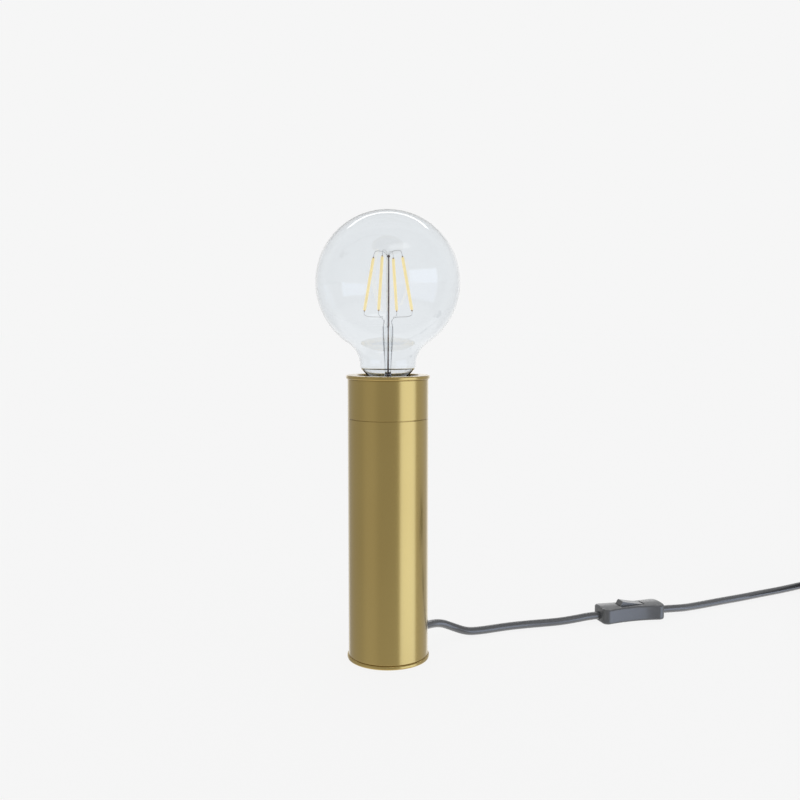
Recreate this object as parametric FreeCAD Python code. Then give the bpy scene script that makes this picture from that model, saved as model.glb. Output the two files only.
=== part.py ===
import FreeCAD, Part
import math
import os

# Table lamp: a plain brass tube on a thin base flange, with a turned rim round a sunk screw lampholder and
# a clear globe bulb standing in it. The mains lead leaves the tube low at the back, carries a rocker switch
# and ends in a flat two-pin plug. Millimetres. +Z is up, the origin is the middle of the base on the table,
# +X runs to the side where the lead goes and +Y to the back.

V = FreeCAD.Vector
UP = V(0, 0, 1)
ORIGIN = V(0, 0, 0)
os.makedirs("parts", exist_ok=True)

# ---- driving sizes: brass body ----
tube_radius = 26.75
tube_wall = 1.5
seam_height = 162.5
seam_gap = 0.5
rim_radius = 27.75
rim_top = 191.1
rim_thickness = 2.5
rim_edge = 0.9
rim_line = 0.3
rim_hole_radius = 20.5
rim_spigot_share = 0.31
flange_radius = 27.65
flange_thickness = 2.5
flange_edge = 0.8
flange_spigot_depth = 4.0
spigot_wall = 1.5
turned_fit = 0.1
hub_radius = 8.0
hub_height = 5.0
pad_radius = 23.0
pad_thickness = 1.2
pad_proud = 0.4
ballast_height = 12.8
coupler_share = 0.47
bridge_thickness = 3.0
fuse_overlap = 0.5

# ---- driving sizes: rod, nuts and lead entry ----
rod_radius = 5.0
rod_bore_radius = 3.5
rod_fit = 0.05
nut_across_flats = 14.0
nut_height = 4.0
washer_radius = 8.2
washer_thickness = 1.0
rod_end_gap = 0.3
rod_end_proud = 1.0
exit_azimuth = 45.0
exit_height = 12.8
bush_outside = 8.25
bush_inside = 11.75
bush_neck_radius = 4.2
bush_head_radius = 5.6
bush_head_thickness = 1.4
bush_tip_radius = 3.5
bush_head_chamfer = 0.5
bush_fit = 0.1
slot_fit = 0.3
crimp_width = 2.2
crimp_radius = 4.2

# ---- driving sizes: lead ----
cord_radius = 2.9
cord_end_run = 8.0
core_radius = 1.05
core_bend_radius = 2.2
core_hole_radius = 1.5
core_spacing = 1.3
core_riser_place = 10.1
core_spread_start = 28.0
core_spread_rise = 45.0
core_fit = 0.2
lead_fit = 0.03
sheath_end_place = 12.6

# ---- driving sizes: lampholder ----
holder_radius = 18.5
holder_wall = 2.0
holder_floor = 3.0
terminal_space = 9.0
block_thickness = 6.0
block_to_shell = 5.0
shell_outer_radius = 14.3
shell_to_contact = 3.0
shell_height = 26.0
sleeve_sink = 1.0
ring_radius = 22.5
ring_height = 2.6
holder_fit = 0.1
block_ledge = 0.9
sleeve_chamfer = 0.6
terminal_place = 9.4
terminal_spread = 4.6
terminal_size = 5.5
terminal_post = 3.0
terminal_screw_radius = 1.3
core_inserted = 1.6
terminal_screw_length = 3.6
terminal_screw_gap = 0.3
contact_strip = 0.6
contact_rest_gap = 0.3
tongue_half_width = 2.0
tongue_heel = 1.2
tongue_flat = 2.0
tongue_bend = 0.4
tongue_crown = 1.0
tongue_tip = 2.6
tongue_tip_drop = 0.5
side_strip_half_width = 1.5
side_strip_fit = 0.2

# ---- driving sizes: screw thread, shared by the cap and the lampholder ----
thread_pitch = 3.629
thread_steps = 8
thread_mean_radius = 12.575
thread_depth_half = 0.525
thread_clearance = 0.25

# ---- driving sizes: bulb ----
globe_radius = 47.5
globe_rise = 63.56
glass_wall = 0.8
neck_radius = 18.5
neck_rise = 7.8
neck_bend_height = 54.0
neck_corner_radius = 3.0
neck_end_radius = 10.9
neck_end_depth = 3.0
cap_sink = 3.1
cap_height = 27.0
cap_skirt_radius = 13.3
cap_skirt_height = 3.5
cap_wall = 0.65
cap_thread_height = 20.0
insulator_radius = 10.6
eyelet_radius = 4.6
eyelet_height = 1.4
stem_flare_radius = 9.6
stem_waist_radius = 2.05
stem_seal_gap = 0.2
stem_lip = 0.8
stem_skirt = ((1.6, 1.2), (0.4, 3.0))
stem_waist_rise = 5.0
press_width = 7.1
press_thickness = 3.2
press_widening = ((10.0, 0.0), (21.0, 0.45), (32.0, 1.0), (35.0, 1.0))
exhaust_depth = 11.0
rod_rise = 80.4
rod_glass_radius = 1.1
filament_length = 36.1
filament_radius = 0.95
filament_top_rise = 80.5
filament_top_radius = 10.1
filament_bottom_radius = 16.8
filament_azimuths = {"left": 160.0, "front": 250.0, "back": 70.0, "right": 340.0}
bulb_wire_radius = 0.32
wire_hub_radius = 0.9
wire_crown_share = 0.72
wire_crown_rise = 3.0
wire_crown_end = 1.6
wire_crown_drop = 0.4
wire_stub = 1.5
wire_foot_in = 1.5
wire_foot_drop = 1.6
lead_wire_place = 2.75
lead_wire_rise = 4.0
knot_out = 0.8
knot_rise = 6.4
knot_swell = 1.3
driver_radius = 11.1
driver_thickness = 1.6
driver_depth = 20.0
capacitor_radius = 3.2
capacitor_height = 9.0
capacitor_place = -5.5
choke_size = (5.0, 6.0, 5.5)
choke_place = 5.5
insulator_rim = 1.2
insulator_neck = 0.8
eyelet_edge = 0.7

# ---- driving sizes: switch ----
switch_azimuth = 15.7
switch_middle = (183.4, 80.5)
switch_half_length = 26.0
switch_end_half_width = 9.75
switch_waist_half_width = 7.6
switch_corner_radius = 4.5
switch_parting = 5.0
switch_height = 12.0
switch_crown_radius = 48.0
switch_wall = 1.8
switch_roof = 2.8
switch_edge = 1.6
switch_hole_fit = 0.15
rocker_place = 0.0
rocker_pivot_height = 8.2
rocker_end_radius = 10.2
rocker_tip_angle = 31.2
rocker_tilt = 10.5
rocker_half_width = 3.9
rocker_hollow = 0.25
rocker_depth = 1.6
rocker_gap = 0.35
rocker_pin_radius = 1.0
rocker_pin_fit = 0.06
rocker_pin_hold = 1.1
plunger_radius = 1.2
plunger_reach = 2.4
plunger_half_width = 1.5
cheek_thickness = 1.5
cheek_half_length = 2.6
seesaw_height = 3.4
seesaw_tilt = 7.5
seesaw_rise = 0.9
seesaw_half_length = 6.5
seesaw_half_width = 2.0
seesaw_thickness = 0.6
seesaw_knuckle_radius = 0.45
seesaw_seat_fit = 0.05
seesaw_post_half_length = 1.1
seesaw_post_drop = 0.15
pad_inset = 1.2
pad_half_length = 1.5
pad_reach = 1.8
contact_gap = 0.35
anchor_place = 21.7
anchor_length = 3.6
anchor_thickness = 1.2
anchor_screw_spread = 5.0
anchor_screw_radius = 1.25
anchor_boss_radius = 2.0
anchor_overhang = 1.6
sheath_inside = 6.4
switch_wire_side = 4.6
switch_wire_straight = 2.2
switch_wire_crossing = 5.5
switch_wire_settled = 9.5
switch_wire_hump = 0.7
screw_fit = 0.02
housing_screw_places = (-13.4, 13.4)
housing_screw_radius = 1.3
housing_boss_radius = 2.4
housing_boss_sink = 2.0
housing_pilot_sink = 3.2
housing_screw_sink = 4.0
anchor_pilot_sink = 2.6
housing_head_radius = 2.1
housing_head_fit = 0.1
housing_head_low = 0.4
housing_head_top = 1.4

# ---- driving sizes: plug ----
plug_axis_height = 6.85
plug_place = (398.0, 70.0)
plug_azimuth = 180.0
plug_boot_length = 20.0
plug_boot_radius = 5.2
plug_boot_tip_radius = 3.6
plug_body_length = 36.0
plug_face_half_width = 17.65
plug_back_half_width = 7.5
plug_edge = 2.6
plug_waist_length = 10.0
plug_waist_flare = 1.5
plug_shoulder_length = 13.0
plug_face_chamfer = 3.0
plug_rib_count = 4
plug_rib_start = 3.5
plug_rib_pitch = 4.0
plug_rib_gap = 1.4
plug_rib_depth = 0.7
plug_pin_spacing = 18.6
plug_pin_length = 19.0
plug_pin_radius = 2.0
plug_pin_core_radius = 1.4
plug_sleeve_radius = 1.7
plug_pin_hold = 3.5
plug_pin_fit = 0.02
plug_sleeve_length = 10.0
plug_pin_tip = 1.0

# ---- driving sizes: coil of the spare lead ----
coil_outer_radius = 38.65
coil_turns_per_layer = 1.5
coil_pitch = 6.35
coil_layer_rise = 6.28
coil_lift = 0.92
coil_last_turns = 0.25
coil_start = (374.5, 173.1)
coil_heading = 28.0
tie_azimuth = 215.0
tie_width = 9.0
tie_thickness = 0.8
tie_gap = 0.1
tie_corner = 1.6

# ---- places worked out from the sizes ----
tube_inner = tube_radius - tube_wall
spigot_radius = tube_inner - turned_fit
flange_top = pad_proud + flange_thickness
rim_bottom = rim_top - rim_thickness
collar_top = rim_bottom - rim_line
collar_bottom = seam_height + seam_gap / 2
collar_height = collar_top - collar_bottom
coupler_top = collar_bottom + coupler_share * collar_height
rim_spigot_bottom = rim_bottom - rim_spigot_share * collar_height
ballast_top = flange_top + ballast_height
cap_top = rim_top - cap_sink
contact_bottom = cap_top - cap_height
shell_bottom = contact_bottom - shell_to_contact
shell_top = shell_bottom + shell_height
block_top = shell_bottom - block_to_shell
block_bottom = block_top - block_thickness
terminal_bottom = block_bottom - terminal_size
core_top = terminal_bottom + core_inserted
holder_inside = block_bottom - terminal_space
holder_bottom = holder_inside - holder_floor
bridge_top = holder_bottom - nut_height
bridge_bottom = bridge_top - bridge_thickness
sleeve_top = rim_bottom - sleeve_sink
globe_centre = cap_top + globe_rise
bush_outer_end = tube_radius + bush_outside
bush_inner_end = tube_radius - bush_inside
bush_head_end = math.sqrt(tube_inner**2 - bush_head_radius**2) - bush_fit
bush_head_start = bush_head_end - bush_head_thickness
slot_half_width = bush_neck_radius + slot_fit
press_top = cap_top + press_widening[-1][0]
wire_hub_z = cap_top + rod_rise + wire_hub_radius
floor_gap = 0.02
floor_z = cord_radius + floor_gap
seesaw_drop = seesaw_half_length * math.sin(math.radians(seesaw_tilt))
pad_top = seesaw_height - seesaw_drop + seesaw_rise - seesaw_thickness - contact_gap
switch_wire_height = pad_top + core_radius

# ---- general shapes ----


def save(name, shape):
    """Write one sub-part and print what it is."""
    shape.exportStep("parts/" + name + ".step")
    flag = "" if shape.isValid() else "  NOT VALID"
    print(f"{name:24s} {len(shape.Solids)} solid(s) {shape.Volume / 1000:9.3f} cm3{flag}")


def disc(radius, low, high, at=(0, 0)):
    return Part.makeCylinder(radius, high - low, V(at[0], at[1], low))


def ring(outer, inner, low, high):
    return disc(outer, low, high).cut(disc(inner, low - 1, high + 1))


def lying(radius, start, end, y, z):
    """A cylinder along X from start to end."""
    return Part.makeCylinder(radius, end - start, V(start, y, z), V(1, 0, 0))


def across(radius, half_width, x, z):
    """A cylinder along Y, half_width to each side of the middle plane."""
    return Part.makeCylinder(radius, 2 * half_width, V(x, -half_width, z), V(0, 1, 0))


def block(x, y, z):
    """A box between the pairs of limits x, y and z."""
    return Part.makeBox(x[1] - x[0], y[1] - y[0], z[1] - z[0], V(x[0], y[0], z[0]))


def turned(points):
    """A solid of revolution about Z from a closed outline of (radius, height) points."""
    corners = [V(r, 0, z) for r, z in points]
    face = Part.Face(Part.makePolygon(corners + corners[:1]))
    return face.revolve(ORIGIN, UP, 360)


def hexagon(across_flats, low, high, bore):
    corners = []
    for i in range(7):
        angle = math.radians(60 * i + 30)
        size = across_flats / 2 / math.cos(math.radians(30))
        corners.append(V(size * math.cos(angle), size * math.sin(angle), low))
    prism = Part.Face(Part.makePolygon(corners)).extrude(V(0, 0, high - low))
    return prism.cut(disc(bore, low - 1, high + 1))


def arc(a, b, c):
    return Part.Arc(a, b, c).toShape()


def line(a, b):
    return Part.LineSegment(a, b).toShape()


def fused(shapes):
    first = shapes[0]
    return first.multiFuse(shapes[1:]) if len(shapes) > 1 else first


def group(shapes):
    return Part.makeCompound([s for shape in shapes for s in shape.Solids])


def rounded(shape, radius, keep):
    """Fillet the edges for which keep(edge) is true."""
    return shape.makeFillet(radius, [e for e in shape.Edges if keep(e)])


def bent_wire(points, radius):
    """Straight round wire through the points, with a ball at each inner corner."""
    pieces = []
    for a, b in zip(points, points[1:]):
        pieces.append(Part.makeCylinder(radius, (b - a).Length, a, b - a))
    for corner in points[1:-1]:
        pieces.append(Part.makeSphere(radius, corner))
    return fused(pieces)


def path_of_runs(points, share, cap=None):
    """Straight runs joined by tangent arcs, each taking a share of its shorter run, and the arcs' radii."""
    edges, radii, last = [], [], points[0]
    for before, corner, after in zip(points, points[1:], points[2:]):
        into, out = corner - before, after - corner
        half = into.getAngle(out) / 2
        reach = share * min(into.Length, out.Length)
        if cap is not None:
            reach = min(reach, cap * math.tan(half))
        radius = reach / math.tan(half)
        radii.append(radius)
        into.normalize()
        out.normalize()
        start, end = corner - into * reach, corner + out * reach
        inward = out - into
        inward.normalize()
        middle = corner + inward * (radius / math.cos(half) - radius)
        edges.append(line(last, start))
        edges.append(arc(start, middle, end))
        last = end
    edges.append(line(last, points[-1]))
    return edges, radii


def swept(edges, radius):
    """A round solid of one radius along joined edges."""
    spine = Part.Wire(edges)
    first = edges[0]
    start = first.valueAt(first.FirstParameter)
    heading = first.tangentAt(first.FirstParameter)
    section = Part.Wire(Part.makeCircle(radius, start, heading))
    return spine.makePipeShell([section], True, False)


def report_tube(name, shape, edges, radius, radii):
    length = sum(e.Length for e in edges)
    print(
        f"  {name}: length {length:.1f}, volume ratio {shape.Volume / (math.pi * radius**2 * length):.5f},"
        f" radii {min(radii):.1f} to {max(radii):.1f}"
    )
    return length


def cord_run(name, places):
    """One stretch of lead through the chosen points: straight runs joined by tangent arcs."""
    edges, radii = path_of_runs([V(*p) for p in places], 0.45)
    shape = swept(edges, cord_radius)
    print("  radii of", name, [round(r, 1) for r in radii])
    length = report_tube(name, shape, edges, cord_radius, radii)
    save(name, shape)
    return length


def screw_body(mean_radius, low, turns):
    """A round screw: a circle carried up while its centre runs round the axis, one turn for each pitch."""
    circles = []
    for i in range(turns * thread_steps + 1):
        angle = 2 * math.pi * i / thread_steps
        centre = V(
            thread_depth_half * math.cos(angle),
            thread_depth_half * math.sin(angle),
            low + thread_pitch * i / thread_steps,
        )
        circles.append(Part.Wire(Part.makeCircle(mean_radius, centre, UP)))
    return Part.makeLoft(circles, True, True)


def to_exit(shape):
    """Turn a shape made along +X to the direction in which the lead leaves."""
    return shape.rotated(ORIGIN, UP, exit_azimuth)


def to_switch(shape):
    """Carry a shape from the switch's own frame, X along it, to its place on the lead."""
    placed = shape.rotated(ORIGIN, UP, switch_azimuth)
    placed.translate(V(switch_middle[0], switch_middle[1], 0))
    return placed


def to_plug(shape):
    """Carry a shape from the plug's own frame, X from the lead to the pins, to its place."""
    placed = shape.rotated(ORIGIN, UP, plug_azimuth)
    placed.translate(V(plug_place[0], plug_place[1], 0))
    return placed


# ---- base: pad, flange, ballast and tube ----


def make_base():
    save("foot_pad", disc(pad_radius, 0, pad_thickness))
    plate = disc(flange_radius, pad_proud, flange_top)
    plate = plate.makeFillet(flange_edge, plate.Edges)
    spigot_top = flange_top + flange_spigot_depth
    spigot = ring(spigot_radius, spigot_radius - spigot_wall, flange_top - fuse_overlap, spigot_top)
    hub = disc(hub_radius, flange_top - fuse_overlap, flange_top + hub_height)
    flange = fused([plate, spigot, hub])
    flange = flange.cut(disc(pad_radius + turned_fit, pad_proud - 1, pad_thickness))
    flange = flange.cut(disc(rod_radius + rod_fit, pad_thickness - 1, flange_top + hub_height + 1))
    save("base_flange", flange)

    ballast = ring(spigot_radius - spigot_wall - turned_fit, rod_radius + rod_fit, flange_top, ballast_top)
    hub_space = disc(hub_radius + turned_fit, flange_top - 1, flange_top + hub_height + turned_fit)
    ballast = ballast.cut(hub_space)
    half, head_half = slot_half_width, bush_head_radius + slot_fit
    head_start = bush_head_start - slot_fit
    slot = block((hub_radius, tube_radius), (-half, half), (exit_height - half, ballast_top + 1))
    head_low = exit_height - head_half
    pocket = block((head_start, tube_radius), (-head_half, head_half), (head_low, ballast_top + 1))
    save("ballast_weight", ballast.cut(to_exit(fused([slot, pocket]))))

    tube = ring(tube_radius, tube_inner, flange_top, seam_height - seam_gap / 2)
    hole = lying(bush_neck_radius + bush_fit, tube_inner - 5, tube_radius + 5, 0, exit_height)
    save("lower_tube", tube.cut(to_exit(hole)))


# ---- head: coupler, collar and rim ----


def make_head():
    coupler = turned(
        [
            (rod_radius + rod_fit, bridge_bottom),
            (spigot_radius, bridge_bottom),
            (spigot_radius, coupler_top),
            (spigot_radius - spigot_wall, coupler_top),
            (spigot_radius - spigot_wall, bridge_top),
            (rod_radius + rod_fit, bridge_top),
        ]
    )
    for side in (-1, 1):
        place = (terminal_place, side * terminal_spread)
        coupler = coupler.cut(to_exit(disc(core_hole_radius, bridge_bottom - 1, bridge_top + 1, place)))
    save("coupler_sleeve", coupler)
    save("upper_collar", ring(tube_radius, tube_inner, collar_bottom, collar_top))

    lip = disc(rim_radius, rim_bottom, rim_top)
    lip = lip.makeFillet(rim_edge, lip.Edges)
    seat = disc(spigot_radius, rim_spigot_bottom, rim_bottom + fuse_overlap)
    seat = seat.cut(disc(spigot_radius - spigot_wall, rim_spigot_bottom - 1, rim_bottom))
    rim = fused([lip, seat]).cut(disc(rim_hole_radius, rim_spigot_bottom - 1, rim_top + 1))
    save("top_rim", rim)


# ---- threaded rod with its nuts and washers ----


def make_rod():
    rod_bottom = pad_thickness + rod_end_gap
    rod_top = holder_inside + rod_end_proud
    save("threaded_rod", ring(rod_radius, rod_bore_radius, rod_bottom, rod_top))
    nut_places = [ballast_top + washer_thickness, bridge_bottom - nut_height, bridge_top]
    nuts = [hexagon(nut_across_flats, z, z + nut_height, rod_radius + rod_fit) for z in nut_places]
    save("rod_nuts", group(nuts))
    washer_top = ballast_top + washer_thickness
    save("rod_washer", ring(washer_radius, rod_radius + rod_fit, ballast_top, washer_top))


# ---- where the lead comes in: bush, crimp, inner lead and its cores ----


def make_entry():
    lip_inside = tube_radius + bush_fit
    lip_outside = lip_inside + bush_head_thickness
    outline = [
        (0, bush_inner_end),
        (bush_neck_radius, bush_inner_end),
        (bush_neck_radius, lip_inside),
        (bush_head_radius, lip_inside),
        (bush_head_radius - bush_head_chamfer, lip_outside),
        (bush_tip_radius, bush_outer_end),
        (0, bush_outer_end),
    ]
    bush = turned(outline)
    head = disc(bush_head_radius, bush_head_start, bush_head_end)
    bush = fused([bush, head]).cut(disc(cord_radius + lead_fit, bush_inner_end - 1, bush_outer_end + 1))
    bush = bush.rotated(ORIGIN, V(0, 1, 0), 90)
    bush.translate(V(0, 0, exit_height))
    save("exit_bush", to_exit(bush))

    crimp = lying(crimp_radius, bush_inner_end - crimp_width, bush_inner_end, 0, exit_height)
    crimp = crimp.cut(lying(cord_radius + lead_fit, 0, tube_radius, 0, exit_height))
    save("crimp_ring", to_exit(crimp))
    save("inner_lead", to_exit(lying(cord_radius, sheath_end_place, bush_outer_end, 0, exit_height)))

    spread_height = ballast_top + core_spread_start
    for name, side in (("live", 1), ("neutral", -1)):
        near, far = side * core_spacing, side * terminal_spread
        points = [
            V(sheath_end_place, near, exit_height),
            V(core_riser_place, near, exit_height),
            V(core_riser_place, near, spread_height),
            V(terminal_place, far, spread_height + core_spread_rise),
            V(terminal_place, far, core_top),
        ]
        edges, radii = path_of_runs(points, 0.9, core_bend_radius)
        core = swept(edges, core_radius)
        report_tube(name + " core", core, edges, core_radius, radii)
        save(name + "_core", to_exit(core))


# ---- lampholder ----


def make_holder():
    inner = holder_radius - holder_wall
    ledge = inner - block_ledge
    cup = turned(
        [
            (rod_radius + rod_fit, holder_bottom),
            (holder_radius, holder_bottom),
            (holder_radius, block_top),
            (inner, block_top),
            (inner, block_bottom),
            (ledge, block_bottom),
            (ledge, holder_inside),
            (rod_radius + rod_fit, holder_inside),
        ]
    )
    insulator = disc(inner - holder_fit, block_bottom, block_top)
    for side in (-1, 1):
        place = (terminal_place, side * terminal_spread)
        cup = cup.cut(to_exit(disc(core_hole_radius, holder_bottom - 1, holder_inside + 1, place)))
        half = terminal_post / 2 + holder_fit
        window = block(
            (terminal_place - half, terminal_place + half),
            (place[1] - half, place[1] + half),
            (block_bottom - 1, block_top + 1),
        )
        insulator = insulator.cut(to_exit(window))
    save("holder_base", cup)
    save("terminal_block", insulator)

    screws = []
    for name, side in (("live", 1), ("neutral", -1)):
        y = side * terminal_spread
        half, post = terminal_size / 2, terminal_post / 2
        near, far = terminal_place - half, terminal_place + half
        body = block((near, far), (y - half, y + half), (terminal_bottom, block_bottom))
        near, far = terminal_place - post, terminal_place + post
        rise = block((near, far), (y - post, y + post), (block_bottom, block_top))
        clamp = fused([body, rise])
        hole_top = core_top + core_fit
        clamp = clamp.cut(disc(core_radius + core_fit, terminal_bottom - 1, hole_top, (terminal_place, y)))
        screw_z = terminal_bottom + terminal_size / 2
        screw = Part.makeCylinder(terminal_screw_radius, terminal_screw_length, V(0, 0, 0), V(1, 0, 0))
        screw.translate(V(terminal_place + core_radius + terminal_screw_gap, y, screw_z))
        clamp = clamp.cut(screw)
        screws.append(to_exit(screw))
        save(name + "_terminal", to_exit(clamp))
    save("terminal_screws", group(screws))

    strip_end = math.hypot(terminal_place, terminal_spread)
    heel = strip_end + tongue_heel
    flat_end = strip_end - tongue_flat
    rest = contact_bottom - contact_rest_gap
    tip = rest - tongue_tip_drop
    side_view = [
        V(heel, 0, block_top),
        V(heel, 0, block_top + contact_strip),
        V(flat_end, 0, block_top + contact_strip),
        V(-tongue_crown, 0, rest),
        V(-tongue_tip, 0, tip),
        V(-tongue_tip, 0, tip - contact_strip),
        V(-tongue_crown, 0, rest - contact_strip),
        V(flat_end - tongue_bend, 0, block_top),
    ]
    tongue = Part.Face(Part.makePolygon(side_view + side_view[:1])).extrude(V(0, 2 * tongue_half_width, 0))
    tongue.translate(V(0, -tongue_half_width, 0))
    live_turn = exit_azimuth + math.degrees(math.atan2(terminal_spread, terminal_place))
    neutral_turn = exit_azimuth - math.degrees(math.atan2(terminal_spread, terminal_place))
    save("centre_contact", tongue.rotated(ORIGIN, UP, live_turn))
    outer = shell_outer_radius - side_strip_fit
    width = (-side_strip_half_width, side_strip_half_width)
    foot = block((strip_end - side_strip_half_width, outer), width, (block_top, block_top + contact_strip))
    riser = block((outer - contact_strip, outer), width, (block_top, shell_bottom))
    save("side_contact", fused([foot, riser]).rotated(ORIGIN, UP, neutral_turn))

    turns = int(math.ceil(shell_height / thread_pitch)) + 1
    tap = screw_body(thread_mean_radius + thread_clearance, shell_bottom - thread_pitch / 2, turns)
    save("thread_shell", disc(shell_outer_radius, shell_bottom, shell_top).cut(tap))

    sleeve = turned(
        [
            (inner, block_top),
            (holder_radius, block_top),
            (holder_radius, sleeve_top - sleeve_chamfer),
            (holder_radius - sleeve_chamfer, sleeve_top),
            (shell_outer_radius + holder_fit, sleeve_top),
            (shell_outer_radius + holder_fit, shell_bottom),
            (inner, shell_bottom),
        ]
    )
    save("holder_sleeve", sleeve)
    ring_bottom = rim_bottom - ring_height
    save("holder_ring", ring(ring_radius, holder_radius + holder_fit, ring_bottom, rim_bottom))


# ---- bulb: glass, stem, filaments and cap ----


def glass_outline(inset):
    """Half section of the bulb's outer face moved inwards by inset, closed along the axis."""
    ball = globe_radius - inset
    neck = neck_radius - inset
    bend = (neck_radius**2 + neck_bend_height**2 - globe_radius**2) / (2 * (globe_radius - neck_radius))
    bend_r, bend_z = neck_radius + bend, globe_centre - neck_bend_height
    bend_inset = bend + inset
    far = math.hypot(bend_r, neck_bend_height)
    touch = V(bend_r * ball / far, 0, globe_centre - neck_bend_height * ball / far)
    turn = math.atan2(bend_z - touch.z, bend_r - touch.x)
    half = turn / 2
    bend_middle = V(bend_r - bend_inset * math.cos(half), 0, bend_z - bend_inset * math.sin(half))
    neck_top = V(neck, 0, bend_z)

    corner_z = cap_top + neck_rise
    slope = math.atan2(neck_radius - neck_end_radius, neck_rise)
    shift = inset * math.tan(slope / 2)
    corner = V(neck, 0, corner_z + shift)
    round_radius = neck_corner_radius - inset
    reach = round_radius * math.tan(slope / 2)
    round_start = V(neck, 0, corner.z + reach)
    round_end = V(corner.x - reach * math.sin(slope), 0, corner.z - reach * math.cos(slope))
    round_centre = V(neck - round_radius, 0, corner.z + reach)
    round_middle = round_centre + V(math.cos(slope / 2), 0, -math.sin(slope / 2)) * round_radius
    end_r = neck_end_radius - inset
    cone_end = V(end_r, 0, cap_top + shift)
    open_z = cap_top - neck_end_depth - (2 if inset else 0)
    equator = V(ball * math.cos(0.35), 0, globe_centre + ball * math.sin(0.35))
    top, bottom = V(0, 0, globe_centre + ball), V(0, 0, open_z)
    edges = [
        arc(top, equator, touch),
        arc(touch, bend_middle, neck_top),
        line(neck_top, round_start),
        arc(round_start, round_middle, round_end),
        line(round_end, cone_end),
        line(cone_end, V(end_r, 0, open_z)),
        line(V(end_r, 0, open_z), bottom),
        line(bottom, top),
    ]
    return Part.Face(Part.Wire(edges))


def make_glass():
    outer = glass_outline(0).revolve(ORIGIN, UP, 360)
    inner = glass_outline(glass_wall).revolve(ORIGIN, UP, 360)
    save("bulb_glass", outer.cut(inner))

    seal_z = cap_top - neck_end_depth + stem_seal_gap
    waist_z = cap_top + stem_waist_rise
    outline = [
        (0, cap_top - exhaust_depth),
        (stem_waist_radius, cap_top - exhaust_depth),
        (stem_waist_radius, seal_z - stem_lip),
        (stem_flare_radius, seal_z),
        (stem_flare_radius, seal_z + stem_lip),
    ]
    outline += [(stem_waist_radius + out, cap_top + rise) for out, rise in stem_skirt]
    outline += [(stem_waist_radius, waist_z), (0, waist_z)]
    sections = [Part.Wire(Part.makeCircle(stem_waist_radius, V(0, 0, waist_z), UP))]
    for rise, share in press_widening:
        z = cap_top + rise
        wide = stem_waist_radius + (press_width / 2 - stem_waist_radius) * share
        thick = stem_waist_radius + (press_thickness / 2 - stem_waist_radius) * share
        if share == 0:
            sections.append(Part.Wire(Part.makeCircle(stem_waist_radius, V(0, 0, z), UP)))
        else:
            oval = Part.Ellipse(V(wide, 0, z), V(0, thick, z), V(0, 0, z))
            sections.append(Part.Wire(oval.toShape()))
    press = Part.makeLoft(sections, True, True)
    save("stem_glass", fused([turned(outline), press]))
    save("support_rod", disc(rod_glass_radius, press_top, cap_top + rod_rise))


def filament_ends(azimuth):
    """Top and bottom ends of a filament that leans outwards towards the cap."""
    angle = math.radians(azimuth)
    lean = filament_bottom_radius - filament_top_radius
    drop = math.sqrt(filament_length**2 - lean**2)
    top_z = cap_top + filament_top_rise
    out = V(math.cos(angle), math.sin(angle), 0)
    top = out * filament_top_radius + V(0, 0, top_z)
    bottom = out * filament_bottom_radius + V(0, 0, top_z - drop)
    return top, bottom, out


def make_filaments():
    arms = [Part.makeSphere(wire_hub_radius, V(0, 0, wire_hub_z))]
    arms_low = {-1: [], 1: []}
    for name, azimuth in filament_azimuths.items():
        top, bottom, out = filament_ends(azimuth)
        along = top - bottom
        along.normalize()
        save("filament_" + name, Part.makeCylinder(filament_radius, (top - bottom).Length, bottom, along))
        crown_z = wire_hub_z + wire_crown_rise
        crown = out * (filament_top_radius * wire_crown_share) + V(0, 0, crown_z)
        inner = out * wire_crown_end + V(0, 0, crown_z - wire_crown_drop)
        over = [top, top + along * wire_stub, crown, inner, V(0, 0, wire_hub_z)]
        arms.append(bent_wire(over, bulb_wire_radius))
        side = -1 if out.x < 0 else 1
        knot = V(side * (lead_wire_place + knot_out), 0, press_top + knot_rise)
        foot = bottom - along * wire_stub
        turn_in = out * (filament_bottom_radius - wire_foot_in) + V(0, 0, foot.z - wire_foot_drop)
        arms_low[side].append(bent_wire([bottom, foot, turn_in, knot], bulb_wire_radius))
    save("top_wires", fused(arms))
    leads = []
    for side in (-1, 1):
        knot = V(side * (lead_wire_place + knot_out), 0, press_top + knot_rise)
        low = V(side * lead_wire_place, 0, press_top)
        riser = bent_wire([low, low + V(0, 0, lead_wire_rise), knot], bulb_wire_radius)
        knot_ball = Part.makeSphere(bulb_wire_radius * knot_swell, knot)
        leads.append(fused([riser, knot_ball] + arms_low[side]))
    save("lead_wires", group(leads))


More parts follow.
